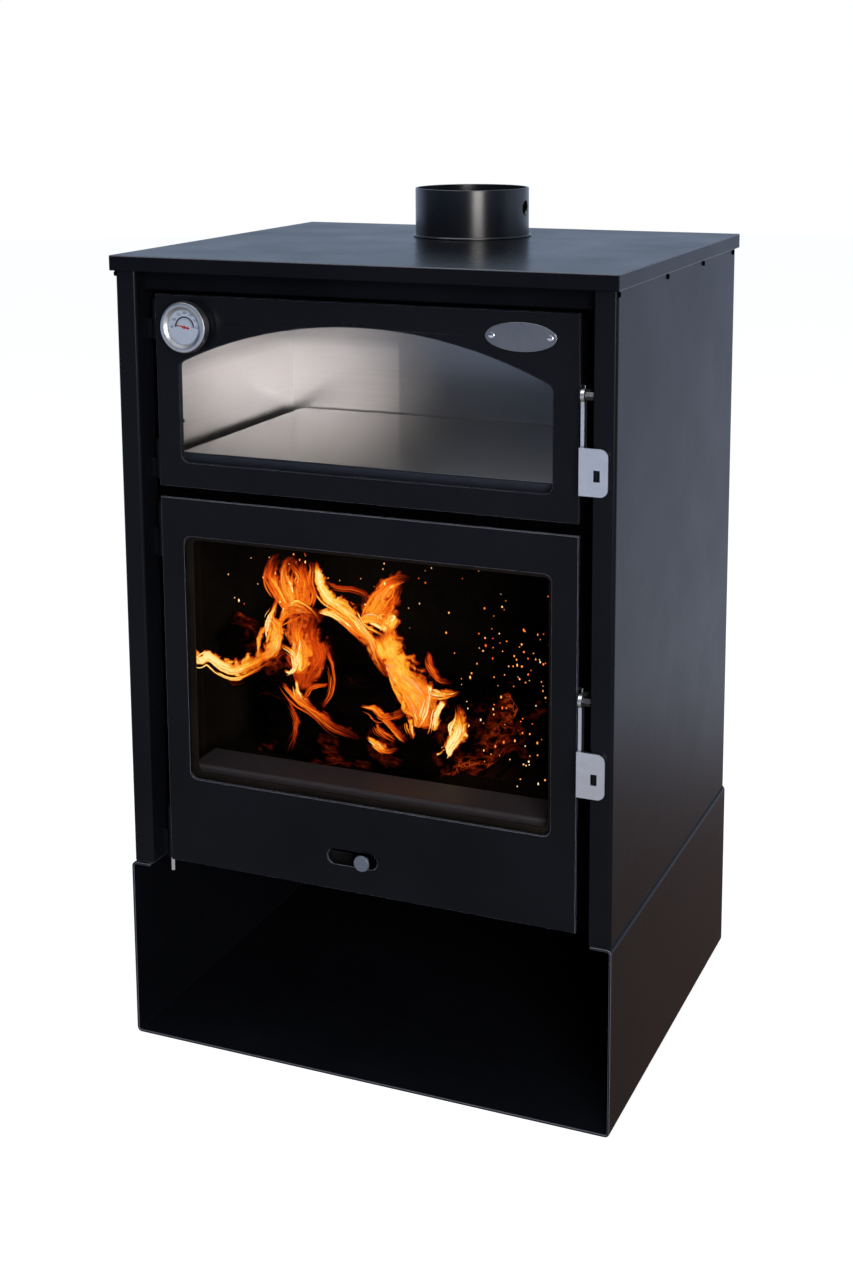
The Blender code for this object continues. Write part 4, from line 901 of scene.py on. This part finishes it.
# Flame tongues: depth in mm, heat in hundredths, and points of x and z in mm and half width
# in tenths of one
TONGUES = {
    "left_band": (-188, 92, (-263, 493, 28), (-255, 479, 55), (-240, 486, 62), (-221, 477, 69),
        (-202, 473, 83), (-184, 482, 104), (-162, 494, 104), (-144, 505, 83), (-129, 511, 35)),
    "left_tip": (-186, 80, (-252, 478, 35), (-260, 487, 28), (-264, 495, 10)),
    "left_curl": (-182, 85, (-194, 474, 42), (-204, 481, 35), (-206, 489, 14)),
    "left_rise": (-145, 78, (-189, 475, 35), (-179, 489, 99), (-172, 503, 127), (-167, 521, 113),
        (-171, 535, 56), (-168, 552, 28), (-162, 571, 11)),
    "centre": (-130, 71, (-150, 456, 43), (-139, 475, 142), (-136, 495, 157), (-143, 514, 142),
        (-141, 538, 121), (-145, 560, 100)),
    "centre_right": (-125, 42, (-125, 460, 43), (-116, 486, 128), (-124, 507, 128),
        (-121, 532, 100), (-113, 553, 57)),
    "veil": (-120, 30, (-150, 431, 36), (-135, 459, 215), (-128, 487, 215), (-135, 512, 179),
        (-139, 535, 107)),
    "thread_a": (-135, 42, (-104, 499, 18), (-94, 476, 25), (-92, 456, 21), (-95, 440, 25),
        (-105, 425, 28), (-109, 414, 14)),
    "thread_b": (-135, 42, (-98, 451, 18), (-120, 446, 28), (-130, 435, 32), (-135, 421, 21)),
    "thread_c": (-140, 85, (-143, 454, 14), (-141, 438, 32), (-134, 428, 42), (-115, 417, 35)),
    "slope_high": (-85, 86, (-141, 596, 18), (-137, 581, 47), (-134, 566, 73), (-124, 550, 80),
        (-104, 539, 87), (-86, 527, 116), (-71, 512, 138), (-57, 497, 138), (-46, 479, 131),
        (-34, 464, 124), (-20, 449, 80)),
    "slope_low": (-90, 80, (-136, 530, 29), (-114, 529, 47), (-92, 518, 58), (-73, 504, 58),
        (-59, 492, 44)),
    "slope_mid": (-80, 62, (-132, 547, 22), (-111, 528, 44), (-93, 510, 51), (-73, 493, 36)),
    "hook": (-70, 28, (-137, 565, 15), (-116, 559, 22), (-94, 559, 22), (-77, 554, 22),
        (-79, 542, 22), (-96, 536, 15)),
    "horn": (-75, 66, (-80, 522, 73), (-62, 540, 132), (-51, 556, 132), (-40, 572, 102),
        (-27, 581, 66), (-9, 584, 22)),
    "horn_back": (-65, 50, (-60, 528, 110), (-45, 540, 88), (-34, 558, 51), (-27, 571, 18)),
    "lobe": (-85, 82, (-43, 511, 73), (-37, 525, 95), (-31, 538, 73), (-24, 532, 29)),
    "fall": (-90, 76, (-48, 514, 102), (-37, 498, 167), (-23, 477, 167), (-12, 459, 189),
        (2, 444, 225), (13, 426, 225), (17, 404, 181), (10, 383, 123), (2, 368, 44)),
    "streak_a": (-100, 100, (25, 457, 18), (22, 434, 33), (15, 410, 40), (2, 384, 22)),
    "streak_b": (-100, 100, (44, 437, 29), (36, 423, 43), (32, 400, 43), (18, 377, 36)),
    "spear": (-110, 100, (53, 367, 14), (55, 378, 57), (62, 393, 86), (69, 409, 86),
        (70, 425, 57), (66, 441, 14)),
    "spear_foot": (-110, 100, (6, 376, 18), (24, 380, 43), (45, 381, 57), (57, 389, 43)),
    "lick": (-70, 36, (9, 489, 15), (12, 473, 51), (23, 458, 55), (33, 452, 37), (46, 451, 11)),
    "inner_a": (-130, 56, (-58, 427, 14), (-40, 425, 39), (-29, 418, 53), (-19, 418, 46),
        (-2, 425, 46), (13, 433, 28)),
    "inner_b": (-130, 50, (-29, 416, 21), (-15, 407, 53), (-1, 396, 60), (6, 387, 28)),
    "inner_c": (-125, 40, (-39, 405, 18), (-32, 396, 32), (-18, 389, 32), (0, 385, 18)),
    "inner_d": (-120, 72, (5, 416, 32), (9, 401, 39), (8, 387, 21)),
    "seam_a": (-145, 48, (-161, 450, 14), (-151, 438, 32), (-136, 427, 46), (-118, 419, 42),
        (-100, 410, 53), (-85, 401, 60), (-65, 394, 53), (-45, 385, 35)),
    "seam_b": (-145, 74, (-43, 392, 18), (-29, 386, 39), (-15, 380, 46), (3, 383, 14)),
    "thin_left": (-150, 30, (-151, 430, 11), (-139, 409, 25), (-137, 393, 25), (-143, 376, 25),
        (-148, 358, 25)),
    "crown_a": (-120, 58, (-157, 535, 50), (-170, 551, 84), (-181, 566, 95), (-186, 581, 78),
        (-181, 595, 56), (-172, 607, 22)),
    "crown_b": (-112, 72, (-155, 533, 50), (-160, 550, 97), (-168, 564, 97), (-171, 580, 91),
        (-165, 596, 73), (-151, 610, 22)),
    "crown_c": (-104, 60, (-153, 533, 50), (-154, 552, 80), (-156, 567, 80), (-155, 580, 69),
        (-162, 595, 50), (-168, 605, 17)),
    "crown_d": (-100, 54, (-144, 535, 45), (-147, 553, 74), (-146, 570, 69), (-152, 587, 52),
        (-148, 604, 17)),
    "crown_e": (-118, 30, (-177, 562, 32), (-188, 576, 40), (-189, 590, 36), (-183, 604, 28),
        (-171, 611, 8)),
    "crown_f": (-98, 45, (-141, 538, 36), (-137, 556, 53), (-142, 572, 48), (-139, 590, 31),
        (-145, 600, 10)),
    "flank": (-150, 100, (-179, 513, 16), (-178, 524, 36), (-172, 538, 24), (-165, 552, 16),
        (-160, 569, 8)),
    "crown_foot": (-116, 63, (-178, 509, 31), (-172, 525, 62), (-161, 537, 78), (-145, 541, 78),
        (-128, 535, 62), (-120, 523, 31)),
    "hook_low": (-152, 97, (-154, 467, 16), (-143, 468, 32), (-136, 480, 36), (-141, 492, 32),
        (-153, 498, 28), (-161, 506, 12)),
    "core_low": (-150, 85, (-133, 465, 20), (-131, 480, 40), (-133, 495, 40), (-130, 510, 32),
        (-133, 524, 12)),
    "sheet": (-92, 92, (-42, 481, 33), (-29, 464, 73), (-9, 449, 106), (8, 433, 122),
        (14, 411, 106), (11, 389, 73), (7, 372, 33)),
    "beak": (-86, 80, (-8, 450, 41), (12, 444, 74), (33, 441, 61), (49, 442, 37), (61, 447, 8)),
    "mane": (-84, 74, (-82, 522, 41), (-66, 528, 74), (-49, 526, 82), (-36, 516, 65),
        (-41, 501, 57), (-49, 485, 33)),
}

# Logs: ends of the axis, radius, and how much of the bark glows
LOGS = {
    "log_main": ((-0.205, -0.035, 0.492), (-0.030, -0.055, 0.372), 0.050, 0.10),
    "log_low": ((-0.215, -0.085, 0.366), (0.045, -0.095, 0.366), 0.033, 0.30),
    "log_left": ((-0.262, -0.090, 0.470), (-0.170, -0.075, 0.440), 0.036, 0.35),
    "log_back": ((-0.150, 0.060, 0.372), (0.160, 0.020, 0.372), 0.042, 0.15),
    "log_right": ((0.040, -0.060, 0.365), (0.105, -0.020, 0.385), 0.034, 0.75),
    "log_cross": ((-0.230, 0.040, 0.376), (-0.120, -0.090, 0.395), 0.034, 0.20),
}


def charred_wood(name, glow):
    """Burnt bark, black and cracked, with embers glowing in the cracks."""
    made = Recipe(name)
    swirl = made.node("TexNoise", Scale=30.0, Detail=4.0, Roughness=0.7, Vector=made.spot())
    shift, warp = made.node("VectorMath"), made.node("VectorMath")
    shift.operation = "SCALE"
    made.feed(shift.inputs[0], swirl.outputs["Color"])
    made.feed(shift.inputs["Scale"], 2.6)
    made.feed(warp.inputs[0], made.spot(scale=(38.0, 95.0, 95.0)))
    made.feed(warp.inputs[1], shift.outputs[0])
    cracks = made.cells(1.0, warp.outputs[0], "DISTANCE_TO_EDGE")
    along = made.spot(scale=(22.0, 60.0, 60.0))
    bark = made.noise(1.0, along, detail=8.0, rough=0.7, twist=0.5)
    first = 0.62 - glow * 0.25
    where = made.ramp(made.noise(16.0, rough=0.6), (first, 0.0), (first + 0.24, 1.0))
    ember = made.times(made.ramp(cracks, (0.0, 1.0), (0.07, 0.40), (0.30, 0.0)), where)
    return made.set(
        Base_Color=made.ramp(
            bark, (0.35, (0.001, 0.001, 0.001)), (0.6, (0.006, 0.003, 0.002)),
            (0.8, (0.030, 0.010, 0.004)),
        ),
        Roughness=0.9, Specular_IOR_Level=0.0, Emission_Strength=1.1,
        Emission_Color=made.ramp(
            ember, (0.0, 0.0), (0.35, (0.14, 0.010, 0.001)), (1.0, (0.85, 0.13, 0.012)),
        ),
        Normal=made.bump(cracks, 0.6, 0.004, made.bump(bark, 0.9, 0.006)),
    )


def flame_light(glow):
    """Glowing gas: coloured by heat, threads along the tongue and soft ragged sides."""
    made = Recipe("flame")
    layout = made.node("TexCoord").outputs["UV"]
    warm = made.node("Attribute")
    warm.attribute_name = "warmth"
    split = made.node("SeparateXYZ", Vector=layout)
    wide, fine = (
        made.node("Mapping", Vector=layout, Scale=scale).outputs[0]
        for scale in ((1.4, 2.6, 1.0), (3.0, 9.0, 1.0))
    )
    wide = made.ridges(made.noise(1.0, wide, twist=0.9), 3.0)
    fine = made.ridges(made.noise(1.0, fine, detail=4.0, twist=1.4), 4.0)
    folds = made.plus(wide, made.times(fine, 0.42), limit=True)
    sway = made.less(made.noise(42.0, detail=2.0, twist=0.8), 0.5)
    fray = made.less(made.noise(130.0, detail=2.0, rough=0.6, twist=0.5), 0.5)
    sway = made.plus(made.times(sway, 0.85), made.times(fray, 0.42))
    middle = made.math("ABSOLUTE", made.less(made.plus(split.outputs["Y"], sway), 0.5))
    side = made.ramp(middle, (0.0, 1.0), (0.22, 0.80), (0.33, 0.30), (0.40, 0.0))
    ends = made.ramp(split.outputs["X"], (0.0, 0.0), (0.10, 1.0), (0.60, 0.9), (1.0, 0.0))
    warmth = made.plus(made.times(warm.outputs["Fac"], 0.95), 0.10)
    body = made.times(made.math("POWER", warmth, 2.0), 0.62)
    torn = made.times(made.times(side, ends), made.plus(made.times(folds, 0.62), body))
    heat = made.times(torn, made.times(warmth, 1.08), limit=True)
    color = made.ramp(
        heat, (0.0, (0.10, 0.005, 0.001)), (0.14, (0.38, 0.026, 0.003)),
        (0.28, (0.76, 0.084, 0.006)), (0.43, (0.96, 0.20, 0.011)), (0.60, (0.98, 0.36, 0.020)),
        (0.76, (0.99, 0.62, 0.080)), (0.92, (1.0, 0.90, 0.40)),
    )
    made.mix(
        made.ramp(torn, (0.05, 0.0), (0.40, 0.60), (0.80, 0.96)),
        made.node("BsdfTransparent"), made.node("Emission", Color=color, Strength=glow),
    )
    made.tree.nodes.remove(made.shader)
    made.material.cycles.emission_sampling = "NONE"
    return made.material


def flowing(points):
    """Points along a smooth line through the given ones."""
    line = [Vector(point) for point in points]
    line = [line[0] * 2 - line[1]] + line + [line[-1] * 2 - line[-2]]
    path = []
    for at in range(1, len(line) - 2):
        a, b, c, d = line[at - 1:at + 3]
        for step in range(SMOOTHING):
            t = step / SMOOTHING
            slow = (a * 2 - b * 5 + c * 4 - d) * t * t
            fast = (b * 3 - a - c * 3 + d) * t ** 3
            path.append(0.5 * (b * 2 + (c - a) * t + slow + fast))
    path.append(line[-2])
    return path


def beside(path, at):
    """Which way is sideways at a place on a path."""
    ahead = path[min(at + 1, len(path) - 1)] - path[max(at - 1, 0)]
    return Vector((-ahead.y, ahead.x)).normalized()


# Ribbons of flame: steps between two given points and steps across, how far the soft sides
# reach past the given width, and the least reach
SMOOTHING = 6
ACROSS = 6
WIDER = 1.55
THINNEST = 0.0004


def add_ribbon(mesh, path, depth, heat, bow, layers):
    """One soft ribbon along a path of (x, z, half width), bowed towards the glass."""
    uv, warm = layers
    rows, total = [], len(path) - 1
    for at, here in enumerate(path):
        normal = beside(path, at)
        row = []
        for step in range(ACROSS + 1):
            v = step / ACROSS
            reach = (v - 0.5) * 2 * max(here.z * WIDER, THINNEST)
            lift = bow * here.z * (1 - (2 * v - 1) ** 2)
            spot = (here.x + normal.x * reach, depth - lift, here.y + normal.y * reach)
            row.append(mesh.verts.new(spot))
        rows.append(row)
    for at in range(total):
        for step in range(ACROSS):
            corners = ((at, step), (at + 1, step), (at + 1, step + 1), (at, step + 1))
            face = mesh.faces.new([rows[u][v] for u, v in corners])
            face.smooth = True
            for loop, (u, v) in zip(face.loops, corners):
                loop[uv].uv = (u / total, v / ACROSS)
                loop.vert[warm] = heat


def glowing(shape, name, coat):
    """Makes a built shape a piece of the fire."""
    mesh = bpy.data.meshes.new(name)
    shape.to_mesh(mesh)
    shape.free()
    piece = bpy.data.objects.new(name, mesh)
    bpy.context.scene.collection.objects.link(piece)
    piece.visible_diffuse = False
    return wear(piece, coat, "stove")


# Sparks: share, x and z of each cloud, the depths they fly at, and their sizes
CLOUDS = (
    (0.62, (0.060, 0.225), (0.350, 0.560)), (0.14, (-0.250, -0.150), (0.540, 0.640)),
    (0.14, (-0.090, 0.080), (0.540, 0.640)), (0.10, (-0.250, 0.220), (0.350, 0.640)),
)
SPARK_DEPTHS = (-0.15, 0.02)
SPARK_SIZES = (0.0005, 0.0005, 0.0007, 0.0007, 0.0009, 0.0011)
# Strands in a tongue: how many, how many of them stay inside, and the steps between them
STRANDS = 7
INNER = 3
STRAND_GAP = 0.003
STRAND_STEP = 0.0015


def lay_log(name, start, end, radius, glow):
    """A lumpy burnt log from one end to the other."""
    calm()
    axis = end - start
    bpy.ops.mesh.primitive_cylinder_add(
        vertices=48, radius=radius, depth=axis.length, location=(start + end) / 2,
        rotation=axis.to_track_quat("Z", "Y").to_euler(), end_fill_type="TRIFAN",
    )
    log = settle()
    log.name = name
    edit_all()
    bpy.ops.mesh.subdivide(number_cuts=5)
    close()
    for kind, size, strength in (("CLOUDS", 0.045, 0.022), ("MUSGRAVE", 0.02, 0.010)):
        lumps = bpy.data.textures.new(name + kind.lower(), kind)
        lumps.noise_scale = size
        fit_modifier(
            log, "DISPLACE", texture=lumps, strength=strength, mid_level=0.55,
            texture_coords="LOCAL",
        )
    bpy.ops.object.shade_smooth()
    COATS[name] = charred_wood("charred_" + name, glow)
    wear(log, name, "stove")


def strand_of(draw, path, inner):
    """A thin wavy piece of a tongue's path, or nothing where it is too short."""
    first = draw.randrange(0, max(1, len(path) // 2))
    last = draw.randrange(len(path) * 2 // 3, len(path) + 1)
    reach = 0.7 if inner else 1.15
    sway, lean = draw.uniform(-reach, reach), draw.uniform(-0.6, 0.6)
    thin = draw.uniform(0.16, 0.36) if inner else draw.uniform(0.12, 0.26)
    part, moved = path[first:last], []
    if len(part) < 4:
        return moved
    for at, here in enumerate(part):
        share = at / (len(part) - 1)
        normal = beside(part, at)
        off = here.z * (sway + lean * math.sin(share * 5.0))
        width = here.z * thin * math.sin(math.pi * (0.08 + 0.9 * share))
        moved.append(Vector((here.x + normal.x * off, here.y + normal.y * off, width)))
    return moved


def light_flames(fire):
    """Every tongue of flame, each a broad ribbon with thin strands before it."""
    COATS["flame"] = flame_light(fire.glow)
    draw = random.Random(7)
    for name, (depth, heat, *points) in TONGUES.items():
        depth, heat = depth / 1000, heat / 100
        shape = bmesh.new()
        layers = shape.loops.layers.uv.new("flow"), shape.verts.layers.float.new("warmth")
        path = flowing([(x / 1000, z / 1000, half / 10000) for x, z, half in points])
        add_ribbon(shape, path, depth, max(0.1, heat - 0.08), 0.8, layers)
        for strand in range(STRANDS):
            inner = strand < INNER
            moved = strand_of(draw, path, inner)
            if moved:
                warmth = min(1.0, max(0.1, heat + 0.12 if inner else heat - 0.10))
                near = depth - STRAND_GAP - STRAND_STEP * strand
                add_ribbon(shape, moved, near, warmth, 0.6, layers)
        glowing(shape, "flame_" + name, "flame").visible_shadow = False


def throw_sparks(fire):
    """Small bright drops that hang over the fire in clouds."""
    made = Recipe("spark")
    made.set(
        Base_Color=(0.1, 0.02, 0.0), Emission_Strength=2.4,
        Emission_Color=made.ramp(
            made.noise(55.0, detail=1.0), (0.35, (1.0, 0.10, 0.01)), (0.5, (1.0, 0.34, 0.05)),
            (0.65, (1.0, 0.72, 0.36)),
        ),
    )
    made.material.cycles.emission_sampling = "NONE"
    COATS["spark"] = made.material
    draw = random.Random(11)
    shape = bmesh.new()
    for _ in range(fire.sparks):
        pick, total = draw.random(), 0.0
        for share, wide, high in CLOUDS:
            total += share
            if pick <= total:
                break
        spot = draw.uniform(*wide), draw.uniform(*SPARK_DEPTHS), draw.uniform(*high)
        size = draw.choice(SPARK_SIZES)
        stretch = Matrix.Diagonal((size, size, size * draw.uniform(1.0, 2.2), 1.0))
        bmesh.ops.create_icosphere(
            shape, subdivisions=1, radius=1.0, matrix=Matrix.Translation(spot) @ stretch,
        )
    glowing(shape, "sparks", "spark")


class STOVE_OT_fire(bpy.types.Operator):
    """Lay the logs and light the fire"""

    bl_idname = "stove.fire"
    bl_label = "Fire"

    def execute(self, context):
        fire = context.scene.stove_fire
        for name, (start, end, radius, glow) in LOGS.items():
            lay_log(name, Vector(start), Vector(end), radius, glow)
        light_flames(fire)
        throw_sparks(fire)
        return {"FINISHED"}


# Colours of the sky from its foot to its top, behind the stove and in front of it
SKY_BEHIND = (
    (0.0, (0.08, 0.052, 0.042)), (0.316, (0.17, 0.115, 0.095)), (0.332, (0.66, 0.72, 0.88)),
    (0.46, (0.50, 0.59, 0.79)), (0.53, (0.58, 0.73, 1.0)), (0.58, (0.46, 0.58, 0.78)),
    (0.70, (0.17, 0.21, 0.27)), (1.0, (0.5, 0.52, 0.55)),
)
SKY_BEFORE = (
    (0.0, (0.08, 0.075, 0.07)), (0.30, (0.38, 0.36, 0.38)), (0.36, (0.58, 0.60, 0.70)),
    (0.42, (0.58, 0.72, 1.0)), (0.45, (0.10, 0.14, 0.22)), (0.56, (0.05, 0.07, 0.11)),
    (0.70, (0.12, 0.14, 0.17)), (1.0, (0.5, 0.52, 0.55)),
)
# Soft lights: place, target, size, how many times the key light's power, and colour
SOFT_LIGHTS = {
    "tall_light": ((2.2, -3.3, 1.5), (0, 0, 0.9), (1.3, 2.4), 8, (1.0, 0.95, 0.93)),
    "overhead_light": ((-0.3, -0.6, 3.2), (0, 0, 0.6), (2.5, 2.5), 3, (0.93, 0.96, 1.0)),
}
# Light in the oven: place, target, size, power and colour
OVEN_LIGHT = ((0.06, 0.0, 0.932), (0.06, 0.01, 0.76), (0.36, 0.16), 0.10, (0.86, 0.92, 1.0))
# Lights in the fire: their places and powers, and their colour
FIRE_LIGHTS = {
    "fire_light_left": ((-0.16, -0.06, 0.56), 0.003),
    "fire_light_right": ((0.07, -0.06, 0.46), 0.004),
}
FIRE_COLOR = (1.0, 0.32, 0.06)
# Camera: sensor in mm, and the shift of its picture as a share of the longer side
SENSOR = 36.0
SHIFT = -0.20


def light(kind, name, place, power, color):
    """A light of one kind."""
    calm()
    bpy.ops.object.light_add(type=kind, location=place)
    lamp = bpy.context.object
    lamp.name = name
    lamp.data.energy = power
    lamp.data.color = color
    return lamp


def area_light(name, place, target, size, power, color):
    """A soft rectangular light that looks at a target."""
    lamp = light("AREA", name, place, power, color)
    lamp.rotation_euler = (Vector(target) - Vector(place)).to_track_quat("-Z", "Y").to_euler()
    lamp.data.shape = "RECTANGLE"
    lamp.data.size, lamp.data.size_y = size
    return lamp


def lay_floor(stage):
    """The plain pale floor."""
    calm()
    bpy.ops.mesh.primitive_circle_add(
        vertices=96, radius=12.0, fill_type="NGON", location=(0, 0, -0.0005),
    )
    floor = bpy.context.object
    floor.name = "floor"
    made = Recipe("floor_paper")
    made.set(
        Base_Color=made.mottle(made.noise(3.0, detail=2.0), stage.floor, 0.99, 1.0),
        Roughness=0.9, Emission_Color=WHITE, Emission_Strength=0.80,
    )
    floor.data.materials.append(made.material)
    floor.visible_glossy = False
    floor.visible_diffuse = False


def hang_sky(context):
    """White to the camera, and soft bands of light and shade to the stove."""
    sky = Sky("studio")
    context.scene.world = sky.world
    split = sky.node("SeparateXYZ", Vector=sky.node("TexCoord").outputs["Generated"])
    height = sky.node("MapRange", Value=split.outputs["Z"], From_Min=-1.0).outputs["Result"]
    facing = sky.node("MapRange", Value=split.outputs["Y"], From_Min=-0.15, From_Max=0.25)
    before, behind = sky.ramp(height, *SKY_BEFORE), sky.ramp(height, *SKY_BEHIND)
    around = sky.blend(facing.outputs["Result"], before, behind)
    seen = sky.node("LightPath").outputs["Is Camera Ray"]
    background = sky.tree.nodes["Background"]
    sky.feed(background.inputs["Color"], sky.blend(seen, around, WHITE))


def place_camera(context, stage):
    """The camera at the photograph's viewing angle."""
    calm()
    bpy.ops.object.camera_add(location=stage.camera_place)
    camera = bpy.context.object
    camera.name = "photo_camera"
    yaw, pitch, roll = stage.camera_yaw, -stage.camera_pitch, stage.camera_roll
    level = math.cos(pitch)
    ahead = Vector((-math.sin(yaw) * level, math.cos(yaw) * level, math.sin(pitch)))
    right = Vector((math.cos(yaw), math.sin(yaw), 0.0))
    down = ahead.cross(right)
    side = right * math.cos(roll) + down * math.sin(roll)
    lower = -right * math.sin(roll) + down * math.cos(roll)
    turn = Matrix((side, -lower, -ahead)).transposed()
    camera.matrix_world = Matrix.Translation(stage.camera_place) @ turn.to_4x4()
    camera.data.lens = stage.camera_lens
    camera.data.sensor_width = SENSOR
    camera.data.shift_y = SHIFT
    camera.data.clip_start = 0.05
    camera.data.clip_end = 60.0
    context.scene.camera = camera


class STOVE_OT_stage(bpy.types.Operator):
    """Set the floor, the soft light and the camera"""

    bl_idname = "stove.stage"
    bl_label = "Studio"

    def execute(self, context):
        stage = context.scene.stove_stage
        context.scene.view_settings.view_transform = "Standard"
        lay_floor(stage)
        hang_sky(context)
        for name, (place, target, size, times, color) in SOFT_LIGHTS.items():
            area_light(name, place, target, size, stage.key * times, color)
        area_light("oven_fill", *OVEN_LIGHT).visible_camera = False
        for name, (place, power) in FIRE_LIGHTS.items():
            light("POINT", name, place, power, FIRE_COLOR).data.shadow_soft_size = 0.03
        place_camera(context, stage)
        return {"FINISHED"}


class STOVE_PT_panel(bpy.types.Panel):
    """Sidebar panel with every step of the stove"""

    bl_idname = "STOVE_PT_panel"
    bl_label = "Wood-burning stove"
    bl_space_type = "VIEW_3D"
    bl_region_type = "UI"
    bl_category = "Stove"

    def draw(self, context):
        column = self.layout.column(align=True)
        for step in STEPS:
            column.operator(step.bl_idname)
        for place, group in GROUPS.items():
            box = self.layout.box()
            for name in group.__annotations__:
                box.prop(getattr(context.scene, place), name)


STEPS = (
    STOVE_OT_finishes, STOVE_OT_body, STOVE_OT_flue, STOVE_OT_firebox, STOVE_OT_oven,
    STOVE_OT_doors, STOVE_OT_hinges, STOVE_OT_latches, STOVE_OT_thermometer, STOVE_OT_badge,
    STOVE_OT_air, STOVE_OT_fire, STOVE_OT_stage,
)
GROUPS = {"stove_finish": StoveFinish, "stove_fire": StoveFire, "stove_stage": StoveStage}


def register():
    for group in GROUPS.values():
        bpy.utils.register_class(group)
    for step in STEPS:
        bpy.utils.register_class(step)
    bpy.utils.register_class(STOVE_PT_panel)
    for name, group in GROUPS.items():
        setattr(bpy.types.Scene, name, PointerProperty(type=group))


def unregister():
    for name in GROUPS:
        delattr(bpy.types.Scene, name)
    bpy.utils.unregister_class(STOVE_PT_panel)
    for step in reversed(STEPS):
        bpy.utils.unregister_class(step)
    for group in reversed(GROUPS.values()):
        bpy.utils.unregister_class(group)


def main():
    register()
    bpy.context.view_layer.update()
    for step in STEPS:
        area, name = step.bl_idname.split(".")
        getattr(getattr(bpy.ops, area), name)()


if __name__ == "__main__":
    main()
